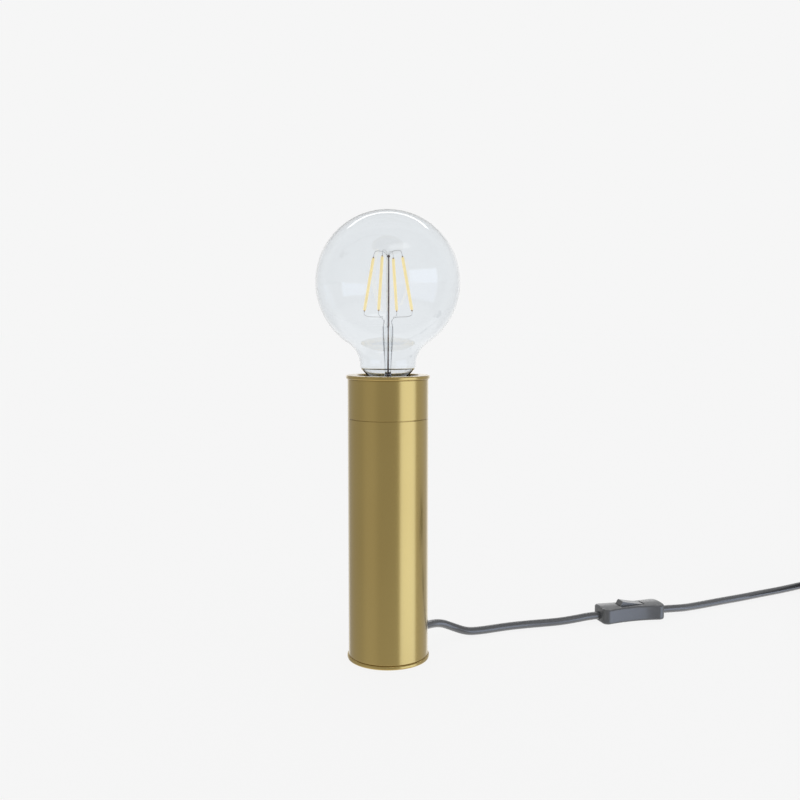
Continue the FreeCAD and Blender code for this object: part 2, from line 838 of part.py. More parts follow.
def make_cap():
    thread_bottom = shell_bottom - thread_pitch / 2
    turns = int(math.ceil((cap_top - thread_bottom) / thread_pitch)) + 1
    screw = screw_body(thread_mean_radius, thread_bottom, turns)
    thread_top = cap_top - cap_skirt_height
    screw = screw.common(disc(20, thread_top - cap_thread_height, thread_top))
    skirt = disc(cap_skirt_radius, thread_top, cap_top)
    inside = thread_mean_radius - thread_depth_half - cap_wall
    cap = fused([screw, skirt]).cut(disc(inside, thread_top - cap_thread_height - 1, cap_top + 1))
    save("bulb_cap", cap)

    cap_bottom = thread_top - cap_thread_height
    insulator = turned(
        [
            (0, contact_bottom + eyelet_height),
            (eyelet_radius + insulator_neck, contact_bottom + eyelet_height),
            (insulator_radius, cap_bottom - holder_fit),
            (insulator_radius, cap_bottom + insulator_rim),
            (0, cap_bottom + insulator_rim),
        ]
    )
    save("cap_insulator", insulator)
    eyelet = disc(eyelet_radius, contact_bottom, contact_bottom + eyelet_height)
    eyelet = rounded(eyelet, eyelet_edge, lambda e: e.BoundBox.ZMax < contact_bottom + 0.01)
    save("cap_contact", eyelet)
    board_z = cap_top - driver_depth
    board = disc(driver_radius, board_z, board_z + driver_thickness)
    capacitor = disc(capacitor_radius, board_z, board_z + capacitor_height, (capacitor_place, 0))
    length, width, height = choke_size
    choke_ends = (choke_place - length / 2, choke_place + length / 2)
    choke = block(choke_ends, (-width / 2, width / 2), (board_z, board_z + height))
    save("driver_board", fused([board, capacitor, choke]))


# ---- in-line switch ----


def switch_outline(inset, z):
    """Waisted plan of the switch, moved inwards by inset: hollow sides, round corners and straight ends."""
    length = switch_half_length - inset
    end = switch_end_half_width - inset
    waist = switch_waist_half_width - inset
    corner = switch_corner_radius - inset
    reach, middle_y = length - corner, end - corner
    side = (reach**2 + (waist - middle_y) ** 2 - corner**2) / (2 * (end - waist))
    far = V(0, -(waist + side), 0)
    way = V(reach, -middle_y, 0) - far
    way.normalize()
    touch = far + way * side
    bulge = V(1, 0, 0) - way
    bulge.normalize()
    round_middle = V(reach, -middle_y, 0) + bulge * corner
    edges = []
    for s in (1, -1):
        start, end_point = V(-s * touch.x, s * touch.y, z), V(s * touch.x, s * touch.y, z)
        edges.append(arc(start, V(0, -s * waist, z), end_point))
        corner_end = V(s * length, -s * middle_y, z)
        edges.append(arc(end_point, V(s * round_middle.x, s * round_middle.y, z), corner_end))
        corner_start = V(s * length, s * middle_y, z)
        edges.append(line(corner_end, corner_start))
        next_point = V(s * touch.x, -s * touch.y, z)
        edges.append(arc(corner_start, V(s * round_middle.x, -s * round_middle.y, z), next_point))
    return Part.Face(Part.Wire(edges))


def make_switch_housing():
    solid = switch_outline(0, 0).extrude(V(0, 0, switch_height))
    crown = Part.makeCylinder(
        switch_crown_radius, 80, V(-40, 0, switch_height - switch_crown_radius), V(1, 0, 0)
    )
    solid = solid.common(crown)
    top_edges = switch_height - 2
    solid = rounded(solid, switch_edge, lambda e: e.BoundBox.ZMax < 0.01 or e.BoundBox.ZMin > top_edges)
    inside_height = switch_height - switch_roof - switch_wall
    inside = switch_outline(switch_wall, switch_wall).extrude(V(0, 0, inside_height))
    bosses, pilots = [], []
    for x in housing_screw_places:
        bosses.append(disc(housing_boss_radius, 0, switch_height - housing_boss_sink, (x, 0)))
        pilots.append(disc(housing_screw_radius, -1, switch_height - housing_pilot_sink, (x, 0)))
    for x in (-anchor_place, anchor_place):
        for y in (-anchor_screw_spread, anchor_screw_spread):
            bosses.append(disc(anchor_boss_radius, 0, switch_parting + cord_radius, (x, y)))
            pilots.append(disc(anchor_screw_radius, switch_wall, switch_height - anchor_pilot_sink, (x, y)))
    bosses = [b.common(solid) for b in bosses]
    low_half = block((-40, 40), (-20, 20), (-1, switch_parting))
    passage = lying(cord_radius + switch_hole_fit, -40, 40, 0, switch_parting)
    keep_low = block((-40, 40), (-20, 20), (0, switch_parting))

    base = solid.cut(inside).common(keep_low)
    base = fused([base] + [b.common(keep_low) for b in bosses])
    base = base.cut(passage.cut(block((-15, 15), (-20, 20), (-5, 30)))).cut(fused(pilots))
    for x in housing_screw_places:
        base = base.cut(disc(housing_head_radius + housing_head_fit, -1, housing_head_top, (x, 0)))
    post = block(
        (rocker_place - seesaw_post_half_length, rocker_place + seesaw_post_half_length),
        (-seesaw_half_width, seesaw_half_width),
        (switch_wall / 2, seesaw_height - seesaw_post_drop),
    )
    seat = across(seesaw_knuckle_radius + seesaw_seat_fit, seesaw_half_width, rocker_place, seesaw_height)
    base = fused([base, post.cut(seat)])
    save("switch_base", to_switch(base))

    cover = solid.cut(inside).cut(low_half)
    screw_bosses = [b.cut(low_half) for b in bosses[: len(housing_screw_places)]]
    cheeks = []
    for side in (-1, 1):
        near = side * (rocker_half_width + rocker_gap)
        far = side * (rocker_half_width + rocker_gap + cheek_thickness)
        cheeks.append(
            block(
                (rocker_place - cheek_half_length, rocker_place + cheek_half_length),
                (min(near, far), max(near, far)),
                (rocker_pivot_height - 2 * rocker_pin_radius, switch_height - switch_roof + fuse_overlap),
            )
        )
    cover = fused([cover] + screw_bosses + cheeks)
    slot_half = rocker_end_radius + rocker_gap
    side_half = rocker_half_width + rocker_gap
    slot = block(
        (rocker_place - slot_half, rocker_place + slot_half),
        (-side_half, side_half),
        (switch_parting, switch_height + 5),
    )
    cover = cover.cut(slot).cut(passage.cut(block((-15, 15), (-20, 20), (-5, 30)))).cut(fused(pilots))
    hole_half = side_half + rocker_pin_hold + holder_fit
    pin_hole = across(rocker_pin_radius + screw_fit, hole_half, rocker_place, rocker_pivot_height)
    save("switch_cover", to_switch(cover.cut(pin_hole)))


def make_rocker():
    """The rocker: a short sector about its pin with a hollowed top and a plunger under it."""
    tip = math.radians(rocker_tip_angle)
    low = math.asin(rocker_depth / rocker_end_radius)
    radius = rocker_end_radius

    def at(angle, side):
        return V(side * radius * math.cos(angle), 0, radius * math.sin(angle))

    edges = [
        arc(at(tip, -1), V(0, 0, radius * math.sin(tip) - rocker_hollow), at(tip, 1)),
        arc(at(tip, 1), at((tip - low) / 2, 1), at(-low, 1)),
        line(at(-low, 1), at(-low, -1)),
        arc(at(-low, -1), at((tip - low) / 2, -1), at(tip, -1)),
    ]
    rocker = Part.Face(Part.Wire(edges)).extrude(V(0, 2 * rocker_half_width, 0))
    rocker.translate(V(0, -rocker_half_width, 0))
    width = (-plunger_half_width, plunger_half_width)
    plunger = block((-plunger_radius, plunger_radius), width, (-plunger_reach, 0))
    nose = across(plunger_radius, plunger_half_width, 0, -plunger_reach)
    bore = across(rocker_pin_radius + rocker_pin_fit, 2 * rocker_half_width, 0, 0)
    rocker = fused([rocker, plunger, nose]).cut(bore).rotated(ORIGIN, V(0, 1, 0), rocker_tilt)
    rocker.translate(V(rocker_place, 0, rocker_pivot_height))
    save("switch_rocker", to_switch(rocker))
    pin_half = rocker_half_width + rocker_gap + rocker_pin_hold
    save("rocker_pin", to_switch(across(rocker_pin_radius, pin_half, rocker_place, rocker_pivot_height)))


def make_switch_inside():
    bar = block(
        (-seesaw_half_length, seesaw_half_length),
        (-seesaw_half_width, seesaw_half_width),
        (seesaw_rise - seesaw_thickness, seesaw_rise),
    )
    knuckle = across(seesaw_knuckle_radius, seesaw_half_width, 0, 0)
    bar = fused([bar, knuckle]).rotated(ORIGIN, V(0, 1, 0), -seesaw_tilt)
    bar.translate(V(rocker_place, 0, seesaw_height))
    save("seesaw_contact", to_switch(bar))

    pads = []
    for side in (-1, 1):
        x = rocker_place + side * (seesaw_half_length - pad_inset)
        length = (x - pad_half_length, x + pad_half_length)
        pads.append(block(length, (-switch_wire_side - core_radius, pad_reach), (switch_wall, pad_top)))
    save("fixed_contacts", to_switch(group(pads)))

    anchors, screws = [], []
    bar_low = switch_parting + cord_radius
    bar_high = bar_low + anchor_thickness
    half = anchor_screw_spread + anchor_overhang
    for x in (-anchor_place, anchor_place):
        ends = (x - anchor_length / 2, x + anchor_length / 2)
        anchor = block(ends, (-half, half), (bar_low, bar_high))
        for y in (-anchor_screw_spread, anchor_screw_spread):
            anchor = anchor.cut(disc(anchor_screw_radius + 0.1, bar_low - 1, bar_low + 3, (x, y)))
            screws.append(disc(anchor_screw_radius - screw_fit, switch_wall, bar_high, (x, y)))
        anchors.append(anchor)
    save("cord_anchors", to_switch(group(anchors)))
    save("anchor_screws", to_switch(group(screws)))

    screws = []
    tip_z = switch_height - housing_screw_sink
    for x in housing_screw_places:
        shank = disc(housing_screw_radius - screw_fit, housing_head_top / 2, tip_z, (x, 0))
        head = disc(housing_head_radius, housing_head_low, housing_head_top, (x, 0))
        screws.append(fused([shank, head]))
    save("housing_screws", to_switch(group(screws)))

    wires = []
    end = switch_half_length - sheath_inside
    near, far = core_spacing, switch_wire_side

    def wire_end(side, hand):
        """Points from the end of the sheath at one side of the switch to where the wire lies low."""
        return [
            V(side * end, hand * near, switch_parting),
            V(side * (end - switch_wire_straight), hand * near, switch_parting),
            V(side * (end - switch_wire_crossing), hand * far, switch_wire_height + switch_wire_hump),
            V(side * (end - switch_wire_settled), hand * far, switch_wire_height),
        ]

    neutral = wire_end(-1, 1) + wire_end(1, 1)[::-1]
    wires.append(swept(path_of_runs(neutral, 0.45)[0], core_radius))
    for side in (-1, 1):
        pad_end = rocker_place + side * (seesaw_half_length - pad_inset)
        live = wire_end(side, -1) + [V(pad_end, -far, switch_wire_height)]
        wires.append(swept(path_of_runs(live, 0.45)[0], core_radius))
    save("switch_wires", to_switch(group(wires)))
    left = lying(cord_radius, -switch_half_length, -end, 0, switch_parting)
    right = lying(cord_radius, end, switch_half_length, 0, switch_parting)
    save("switch_lead_ends", to_switch(group([left, right])))


# ---- plug ----


def make_plug():
    """The plug lies flat: its boot starts at the place given, its body and pins follow along X."""
    boot = turned(
        [
            (0, 0),
            (plug_boot_tip_radius, 0),
            (plug_boot_radius, plug_boot_length),
            (0, plug_boot_length),
        ]
    )
    for i in range(plug_rib_count):
        z = plug_rib_start + plug_rib_pitch * i
        at = plug_boot_tip_radius + (plug_boot_radius - plug_boot_tip_radius) * z / plug_boot_length
        boot = boot.cut(ring(at + 2, at - plug_rib_depth, z, z + plug_rib_gap))
    boot = boot.rotated(ORIGIN, V(0, 1, 0), 90)
    boot.translate(V(0, 0, plug_axis_height))
    save("plug_boot", to_plug(boot))

    start, end = plug_boot_length, plug_boot_length + plug_body_length
    shoulder = end - plug_shoulder_length
    half_plan = [
        (start, plug_back_half_width),
        (start + plug_waist_length, plug_back_half_width + plug_waist_flare),
        (shoulder, plug_face_half_width),
        (end, plug_face_half_width - plug_face_chamfer),
    ]
    plan = [V(x, -y, 0) for x, y in half_plan] + [V(x, y, 0) for x, y in reversed(half_plan)]
    body = Part.Face(Part.makePolygon(plan + plan[:1])).extrude(V(0, 0, 2 * plug_axis_height))
    body = body.makeFillet(plug_edge, [e for e in body.Edges if abs(e.BoundBox.ZLength) > 1])
    body = body.makeFillet(plug_edge, [e for e in body.Edges if e.BoundBox.ZLength < 0.01])
    for side in (-1, 1):
        y = side * plug_pin_spacing / 2
        pin_hole = plug_sleeve_radius + plug_pin_fit
        body = body.cut(lying(pin_hole, end - plug_pin_hold, end + 1, y, plug_axis_height))
    save("plug_body", to_plug(body))

    pins, sleeves = [], []
    for side in (-1, 1):
        y = side * plug_pin_spacing / 2
        sleeve_end = end + plug_sleeve_length
        core = lying(plug_pin_core_radius, end - plug_pin_hold, sleeve_end, y, plug_axis_height)
        tip = lying(plug_pin_radius, sleeve_end, end + plug_pin_length, y, plug_axis_height)
        tip = rounded(tip, plug_pin_tip, lambda e: e.BoundBox.XMin > end + plug_pin_length - 0.01)
        pins.append(fused([core, tip]))
        sleeve = lying(plug_sleeve_radius, end - plug_pin_hold, sleeve_end, y, plug_axis_height)
        bore = lying(plug_pin_core_radius + plug_pin_fit, end - 6, sleeve_end + 1, y, plug_axis_height)
        sleeves.append(sleeve.cut(bore))
    save("plug_pins", to_plug(group(pins)))
    save("plug_sleeves", to_plug(group(sleeves)))


# ---- coil of the spare lead, its tie and the free stretches ----

coil_reach = coil_turns_per_layer * coil_pitch
coil_inner_radius = coil_outer_radius - coil_reach
coil_floor = floor_z + coil_lift


def coil_radius(turns):
    """Distance from the coil's middle after a number of turns: steadily in, steadily out, and so on."""
    place = turns / coil_turns_per_layer
    step = abs((place + 1) % 2 - 1) if place <= 4 else 4 - place
    return coil_outer_radius - coil_reach * step


def coil_height(turns):
    """Each layer is flat, and the climb to the next takes the half turn where the spiral reverses."""
    z = coil_floor
    for layer in (1, 2, 3):
        done = min(max((turns - layer * coil_turns_per_layer) / 0.5 + 0.5, 0), 1)
        z += coil_layer_rise * done**2 * (3 - 2 * done)
    return z


coil_slant = math.degrees(math.atan2(coil_pitch / (2 * math.pi), coil_outer_radius))
coil_first_angle = coil_heading + 90 + coil_slant
coil_middle = V(
    coil_start[0] - coil_outer_radius * math.cos(math.radians(coil_first_angle)),
    coil_start[1] - coil_outer_radius * math.sin(math.radians(coil_first_angle)),
    0,
)
coil_turns = 4 * coil_turns_per_layer + coil_last_turns


def coil_point(turns):
    angle = math.radians(coil_first_angle) - 2 * math.pi * turns
    radius = coil_radius(turns)
    return coil_middle + V(radius * math.cos(angle), radius * math.sin(angle), coil_height(turns))


def coil_tangent(turns):
    step = 1e-4
    low, high = max(turns - step, 0), min(turns + step, coil_turns)
    way = coil_point(high) - coil_point(low)
    way.normalize()
    return way


def biarc(a, way_a, b, way_b):
    """Two arcs that meet smoothly and leave a and reach b in the given directions."""
    gap = b - a
    ways = way_a + way_b
    square = 2 * (way_a.dot(way_b) - 1)
    along = gap.dot(ways)
    if abs(square) < 1e-9:
        reach = gap.dot(gap) / (2 * along)
    else:
        reach = (along - math.sqrt(along**2 - square * gap.dot(gap))) / square
    corner_a, corner_b = a + way_a * reach, b - way_b * reach
    join = (corner_a + corner_b) * 0.5
    pieces = []
    for start, corner, end in ((a, corner_a, join), (join, corner_b, b)):
        inward = (start + end) * 0.5 - corner
        half = (corner - start).getAngle(end - corner) / 2
        radius = (corner - start).Length / math.tan(half)
        inward.normalize()
        middle = corner + inward * (radius / math.cos(half) - radius)
        pieces.append(arc(start, middle, end))
    return pieces


def least_gap(edges, skip):
    """Least distance between the surfaces of different turns, from points along the centre line."""
    points = []
    for edge in edges:
        count = max(int(edge.Length / 2.0), 2)
        step = (edge.LastParameter - edge.FirstParameter) / count
        points += [edge.valueAt(edge.FirstParameter + step * i) for i in range(count)]
    best, travelled = 1e9, [0.0]
    for a, b in zip(points, points[1:]):
        travelled.append(travelled[-1] + (b - a).Length)
    for i, a in enumerate(points):
        for j in range(i + 1, len(points)):
            if travelled[j] - travelled[i] > skip:
                best = min(best, (points[j] - a).Length)
    return best - 2 * cord_radius


def make_coil():
    stops = [coil_turns * i / round(coil_turns * 4) for i in range(round(coil_turns * 4) + 1)]
    places = [coil_point(t) for t in stops]
    ways = [coil_tangent(t) for t in stops]
    ways[0] = V(math.cos(math.radians(coil_heading)), math.sin(math.radians(coil_heading)), 0)
    straight = 2 * cord_radius
    edges = [line(places[0] - ways[0] * straight, places[0])]
    for a, way_a, b, way_b in zip(places, ways, places[1:], ways[1:]):
        edges += biarc(a, way_a, b, way_b)
    edges.append(line(places[-1], places[-1] + ways[-1] * straight))
    shape = swept(edges, cord_radius)
    radii = [e.Curve.Radius for e in edges[1:-1]]
    length = report_tube("coil", shape, edges, cord_radius, radii)
    print(f"  coil: least gap to itself {least_gap(edges, 60):.2f}, {len(edges)} edges, {coil_turns} turns")
    save("cord_coil", shape)

    angle = tie_azimuth
    near = coil_inner_radius - cord_radius - coil_pitch * 0.35 - tie_gap
    far = coil_outer_radius + cord_radius + coil_pitch * 0.35 + tie_gap
    low = coil_floor - cord_radius - tie_gap
    high = coil_floor + 3 * coil_layer_rise + cord_radius + tie_gap
    band = tie_width / 2
    thick = tie_thickness
    strap = block((near - thick, far + thick), (-band, band), (low - thick, high + thick))
    strap = rounded(strap, tie_corner + thick, lambda e: e.BoundBox.YLength > 1)
    hollow = block((near, far), (-band - 1, band + 1), (low, high))
    strap = strap.cut(rounded(hollow, tie_corner, lambda e: e.BoundBox.YLength > 1))
    strap = strap.rotated(ORIGIN, UP, angle)
    strap.translate(coil_middle)
    save("coil_tie", strap)
    return length, places[0] - ways[0] * straight, places[-1] + ways[-1] * straight, ways[-1]


def level(azimuth, length):
    """A level step of the given length in the direction of an azimuth in degrees."""
    return V(math.cos(math.radians(azimuth)), math.sin(math.radians(azimuth)), 0) * length


def make_cords():
    """Each route starts and ends with a run square to what it meets."""
    lamp_end = level(exit_azimuth, bush_outer_end) + V(0, 0, exit_height)
    switch_centre = V(switch_middle[0], switch_middle[1], switch_parting)
    near_end = switch_centre - level(switch_azimuth, switch_half_length)
    far_end = switch_centre + level(switch_azimuth, switch_half_length)
    plug_start = V(plug_place[0], plug_place[1], plug_axis_height)
    first = cord_run(
        "cord_lamp_to_switch",
        [
            lamp_end,
            lamp_end + level(exit_azimuth, cord_end_run),
            V(38.0, 35.5, 10.9),
            V(46.0, 38.7, 7.2),
            V(55.4, 41.4, 3.7),
            V(66.4, 45.8, floor_z),
            V(77.0, 51.4, floor_z),
            V(89.0, 57.0, floor_z),
            V(102.0, 61.6, floor_z),
            V(116.0, 65.2, floor_z),
            V(128.0, 67.5, 3.1),
            V(139.6, 69.2, 4.1),
            near_end - level(switch_azimuth, cord_end_run),
            near_end,
        ],
    )
    coil_length, coil_in, coil_out, coil_way = make_coil()
    second = cord_run(
        "cord_switch_to_coil",
        [
            far_end,
            far_end + level(switch_azimuth, cord_end_run),
            V(228.5, 95.0, 3.9),
            V(241.5, 103.4, floor_z),
            V(256.0, 111.0, floor_z),
            V(271.0, 118.7, floor_z),
            V(288.0, 127.0, floor_z),
            V(306.0, 137.0, floor_z),
            V(325.0, 146.6, floor_z),
            V(343.0, 156.4, floor_z + 0.3),
            coil_in - level(coil_heading, cord_end_run),
            coil_in,
        ],
    )
    third = cord_run(
        "cord_coil_to_plug",
        [
            coil_out,
            coil_out + coil_way * cord_end_run,
            V(443.5, 134.7, 21.2),
            V(448.8, 121.6, 17.1),
            V(450.2, 107.9, 11.6),
            V(446.6, 94.5, 6.4),
            V(439.4, 83.7, 3.4),
            V(429.4, 75.6, floor_z),
            V(417.5, 71.1, 5.1),
            plug_start - level(plug_azimuth, cord_end_run),
            plug_start,
        ],
    )
    total = first + second + third + coil_length
    inside = bush_outer_end - sheath_end_place
    print(f"lead outside the lamp, without the switch: {total:.1f} mm")
    print(f"with the switch {total + 2 * switch_half_length:.1f} mm, and inside the lamp {inside:.1f} mm")


make_base()
make_head()
make_rod()
make_entry()
make_holder()
make_glass()
make_filaments()
make_cap()
make_switch_housing()
make_rocker()
make_switch_inside()
make_plug()
make_cords()
print(len(os.listdir("parts")), "files")
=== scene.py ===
import math

import bpy
import numpy as np
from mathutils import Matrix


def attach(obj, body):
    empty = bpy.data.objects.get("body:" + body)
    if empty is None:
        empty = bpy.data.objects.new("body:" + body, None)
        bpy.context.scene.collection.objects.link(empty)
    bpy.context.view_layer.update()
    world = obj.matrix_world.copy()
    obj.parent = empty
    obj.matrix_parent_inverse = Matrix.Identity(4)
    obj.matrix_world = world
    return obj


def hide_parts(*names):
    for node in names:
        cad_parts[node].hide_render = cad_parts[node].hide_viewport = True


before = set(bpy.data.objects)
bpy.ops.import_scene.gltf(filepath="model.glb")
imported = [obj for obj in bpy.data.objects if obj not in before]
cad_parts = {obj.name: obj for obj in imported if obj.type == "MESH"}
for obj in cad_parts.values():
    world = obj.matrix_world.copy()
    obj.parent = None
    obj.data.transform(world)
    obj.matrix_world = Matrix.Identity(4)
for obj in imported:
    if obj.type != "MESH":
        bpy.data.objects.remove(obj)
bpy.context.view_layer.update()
mm = 0.001

# ---- The eye ----
# The lamp is seen from in front, from the height of the lower half of its globe, looking slightly down. The
# distance and the lens give the globe and the foot the widths that they have side by side in the picture.

eye = (7.95 * mm, -606.8 * mm, 222.7 * mm)
eye_pitch = math.radians(4.554)
lens_length = 41.31

eye_data = bpy.data.cameras.new("eye")
eye_data.sensor_width = 36
eye_data.lens = lens_length
eye_data.clip_start = 0.02
eye_data.clip_end = 60
eye_object = bpy.data.objects.new("eye", eye_data)
eye_object.location = eye
eye_object.rotation_euler = (math.pi / 2 - eye_pitch, 0, 0)
bpy.context.scene.collection.objects.link(eye_object)
bpy.context.scene.camera = eye_object
bpy.context.scene.view_settings.view_transform = "Standard"

# ---- The studio: pale floor and soft light ----
# A pale sweep under a dim ceiling, with a tall window of cool light to the front right and a weak one to the
# front left. A patch of light high in front brightens the tops of lead and switch, and a thin bar of light
# stands high at the back.


class Signal:
    """One output of a node. Arithmetic on it adds Math nodes beside it."""

    def __init__(self, nodes, socket):
        self.nodes = nodes
        self.socket = socket

    def __add__(self, other):
        return self.nodes.math("ADD", self, other)

    def __sub__(self, other):
        return self.nodes.math("SUBTRACT", self, other)

    def __mul__(self, other):
        return self.nodes.math("MULTIPLY", self, other)

    def __truediv__(self, other):
        return self.nodes.math("DIVIDE", self, other)

    def __radd__(self, other):
        return self.nodes.math("ADD", other, self)

    def __rsub__(self, other):
        return self.nodes.math("SUBTRACT", other, self)

    def __rmul__(self, other):
        return self.nodes.math("MULTIPLY", other, self)

    def __rtruediv__(self, other):
        return self.nodes.math("DIVIDE", other, self)

    def __neg__(self):
        return self.nodes.math("MULTIPLY", self, -1.0)

    def step(self, low, high):
        """0 below low, 1 above high, and a smooth rise between them."""
        settings = {"interpolation_type": "SMOOTHSTEP"}
        return self.nodes.node("ShaderNodeMapRange", settings, {0: self, 1: low, 2: high})

    def between(self, start, full, fading, end):
        """A smooth rise to 1 from start to full, and a smooth fall back to 0 from fading to end."""
        return self.step(start, full) * (1 - self.step(fading, end))


class Nodes:
    """A node tree under construction: node() adds any node and gives one of its outputs as a Signal."""

    def __init__(self, tree):
        self.tree = tree

    def node(self, kind, settings=None, inputs=None, out=0):
        """A new node with its settings and inputs, given by the one of its outputs that out names."""
        made = self.tree.nodes.new(kind)
        for name, value in (settings or {}).items():
            setattr(made, name, value)
        for name, value in (inputs or {}).items():
            self.join(made.inputs[name], value)
        return Signal(self, made.outputs[out])

    def join(self, socket, value):
        """Link a signal to a socket, or set the socket to a plain value."""
        if isinstance(value, Signal):
            self.tree.links.new(value.socket, socket)
        elif socket.type == "RGBA":
            socket.default_value = (*value, 1)
        else:
            socket.default_value = value

    def math(self, operation, *values):
        return self.node("ShaderNodeMath", {"operation": operation}, dict(enumerate(values)))

    def mixed(self, share, first, second):
        """The first colour where share is 0 and the second where it is 1."""
        return self.node("ShaderNodeMix", {"data_type": "RGBA"}, {0: share, 6: first, 7: second}, out=2)

    def place(self, size=(1, 1, 1)):
        """Object coordinates, each stretched by its part of size."""
        here = self.node("ShaderNodeTexCoord", out="Object")
        return self.node("ShaderNodeMapping", None, {"Vector": here, "Scale": size})

    def parts(self, vector):
        """The three numbers of a vector."""
        split = self.node("ShaderNodeSeparateXYZ", None, {0: vector}).socket.node
        return [Signal(self, output) for output in split.outputs]

    def noise(self, scale, detail=2.0, vector=None):
        """Soft noise from 0 to 1 about 0.5, with scale grains to the metre."""
        inputs = {"Vector": vector or self.place(), "Scale": scale, "Detail": detail}
        return self.node("ShaderNodeTexNoise", None, inputs)


# Turns are degrees to the right of the front, and heights are degrees above the level. Four of them say where
# a patch starts, is full, begins to fade and ends, and two where a level sets in and is full. Slopes are the
# sideways part of a direction over its backward part.
pale = 0.921
front_level = 0.43
window_level = 0.92
window_tint = (0.97, 1.07, 1.3)
window_turns = (32, 37, 82, 88)
window_heights = (-27, -22, 15, 19)
weak_window_level = 0.09
weak_window_turns = (-84, -60, -44, -20)
side_fill_level = 0.1
side_fill_turns = (86, 92)
back_turns = (140, 158)
back_heights = (13, 20)
back_bar_level = 2.6
back_bar_heights = (38.5, 40, 43.5, 45)
back_bar_slopes = (0.72, 0.82)
high_patch_level = 1.25
high_patch_turns = (-10, 14, 40, 64)
high_patch_heights = (46, 52, 56, 62)
ceiling_dimming = 0.33
ceiling_heights = (19, 62)
floor_heights = (-36, -24)
glass_turns = (95, 125)
white = (1, 1, 1)
degrees_in_radian = 180 / math.pi

world = bpy.data.worlds.new("studio")
bpy.context.scene.world = world
world.use_nodes = True
sky = Nodes(world.node_tree)
backing = world.node_tree.nodes["Background"]
right, back, up = sky.parts(sky.node("ShaderNodeTexCoord", out="Generated"))

turn = sky.math("ARCTAN2", right, -back) * degrees_in_radian
rise = sky.math("ARCSINE", up) * degrees_in_radian
turn_size = sky.math("ABSOLUTE", turn)
window_band = rise.between(*window_heights)
right_window = turn.between(*window_turns) * window_band * window_level
left_window = turn.between(*weak_window_turns) * window_band * weak_window_level
right_fill = turn.step(*side_fill_turns) * side_fill_level
low_at_back = turn_size.step(*back_turns) * (1 - rise.step(*back_heights)) * (pale - front_level)
bar_width = 1 - sky.math("ABSOLUTE", right / back).step(*back_bar_slopes)
back_bar = bar_width * rise.between(*back_bar_heights) * back.step(0, 0.1) * back_bar_level
high_patch = rise.between(*high_patch_heights) * turn.between(*high_patch_turns) * high_patch_level
ceiling = rise.step(*ceiling_heights) * ceiling_dimming
below = front_level + (1 - rise.step(*floor_heights)) * (pale - front_level)
above = front_level + right_window + left_window + right_fill + low_at_back + back_bar + high_patch - ceiling
light = sky.math("MAXIMUM", above, below)

# What the eye sees of the sky, past the lamp or straight through the glass, is one plain pale tone.
seen = sky.node("ShaderNodeLightPath", out="Is Camera Ray")
seen_through = sky.node("ShaderNodeLightPath", out="Is Transmission Ray") * turn_size.step(*glass_turns)
straight = sky.math("MAXIMUM", seen, seen_through)
tint = sky.mixed(right_window / window_level, white, window_tint)
sky.join(backing.inputs["Color"], sky.mixed(straight, tint, white))
sky.join(backing.inputs["Strength"], light * (1 - straight) + straight * pale)


class Finish(Nodes):
    """A material whose Principled shader takes plain values and signals by socket name."""

    def __init__(self, name, sockets):
        self.material = bpy.data.materials.new(name)
        self.material.use_nodes = True
        super().__init__(self.material.node_tree)
        self.shader = self.tree.nodes["Principled BSDF"]
        self.set(sockets)

    def set(self, sockets):
        for name, value in sockets.items():
            self.join(self.shader.inputs[name], value)
        return self

    def bump(self, height, depth, strength=1.0):
        """Raise the surface by depth where height is 1."""
        inputs = {"Strength": strength, "Distance": depth, "Height": height}
        return self.set({"Normal": self.node("ShaderNodeBump", None, inputs)})

    def lathe_place(self, across, along):
        """
        Coordinates for marks left by turning: close together across the tool's path and long along it.

        The first is the distance from the axis and the last the height, both times across. The middle one is
        the angle round the axis times along.
        """
        x, y, z = self.parts(self.place())
        distance = self.math("SQRT", x * x + y * y)
        angle = self.math("ARCTAN2", y, x)
        inputs = {0: distance * across, 1: angle * along, 2: z * across}
        return self.node("ShaderNodeCombineXYZ", None, inputs)


def put(name, points, faces):
    """A mesh object from arrays of points and of faces' corner numbers, shaded smooth."""
    mesh = bpy.data.meshes.new(name)
    mesh.from_pydata(np.asarray(points, float).tolist(), [], [list(face) for face in faces])
    mesh.polygons.foreach_set("use_smooth", np.ones(len(mesh.polygons), bool))
    mesh.update()
    made = bpy.data.objects.new(name, mesh)
    bpy.context.scene.collection.objects.link(made)
    return made


floor_reach = 25.0
floor_colour = (0.86, 0.86, 0.86)
floor_glow = 0.985
shadow_kept = 0.12


def floor_paint():
    """Dull pale paint. To the eye most of it is a plain tone, so that only a trace of the shadow is left."""
    finish = Finish("floor_paint", {"Base Color": floor_colour, "Roughness": 0.9, "Specular IOR Level": 0.0})
    floor_seen = finish.node("ShaderNodeLightPath", out="Is Camera Ray")
    floor_seen_through = finish.node("ShaderNodeLightPath", out="Is Transmission Ray")
    plain_share = finish.math("MAXIMUM", floor_seen, floor_seen_through) * (1 - shadow_kept)
    glow = finish.node("ShaderNodeEmission", None, {"Color": white, "Strength": floor_glow})
    paint = Signal(finish, finish.shader.outputs[0])
    mix = finish.node("ShaderNodeMixShader", None, {0: plain_share, 1: paint, 2: glow})
    finish.join(finish.tree.nodes["Material Output"].inputs["Surface"], mix)
    return finish.material


floor_corners = np.array([(-1, -1, 0), (1, -1, 0), (1, 1, 0), (-1, 1, 0)]) * floor_reach
floor = put("floor", floor_corners, [(0, 1, 2, 3)])
floor.visible_glossy = False
floor.data.materials.append(floor_paint())

# ---- Brass foot ----
# A thin disc of solid brass, turned on a lathe, lacquered and left satin. It closes the tube below, with its
# edges rounded over, and a black felt pad sits in a recess under it.

around_count = 192
sharpest = 0.02 * mm


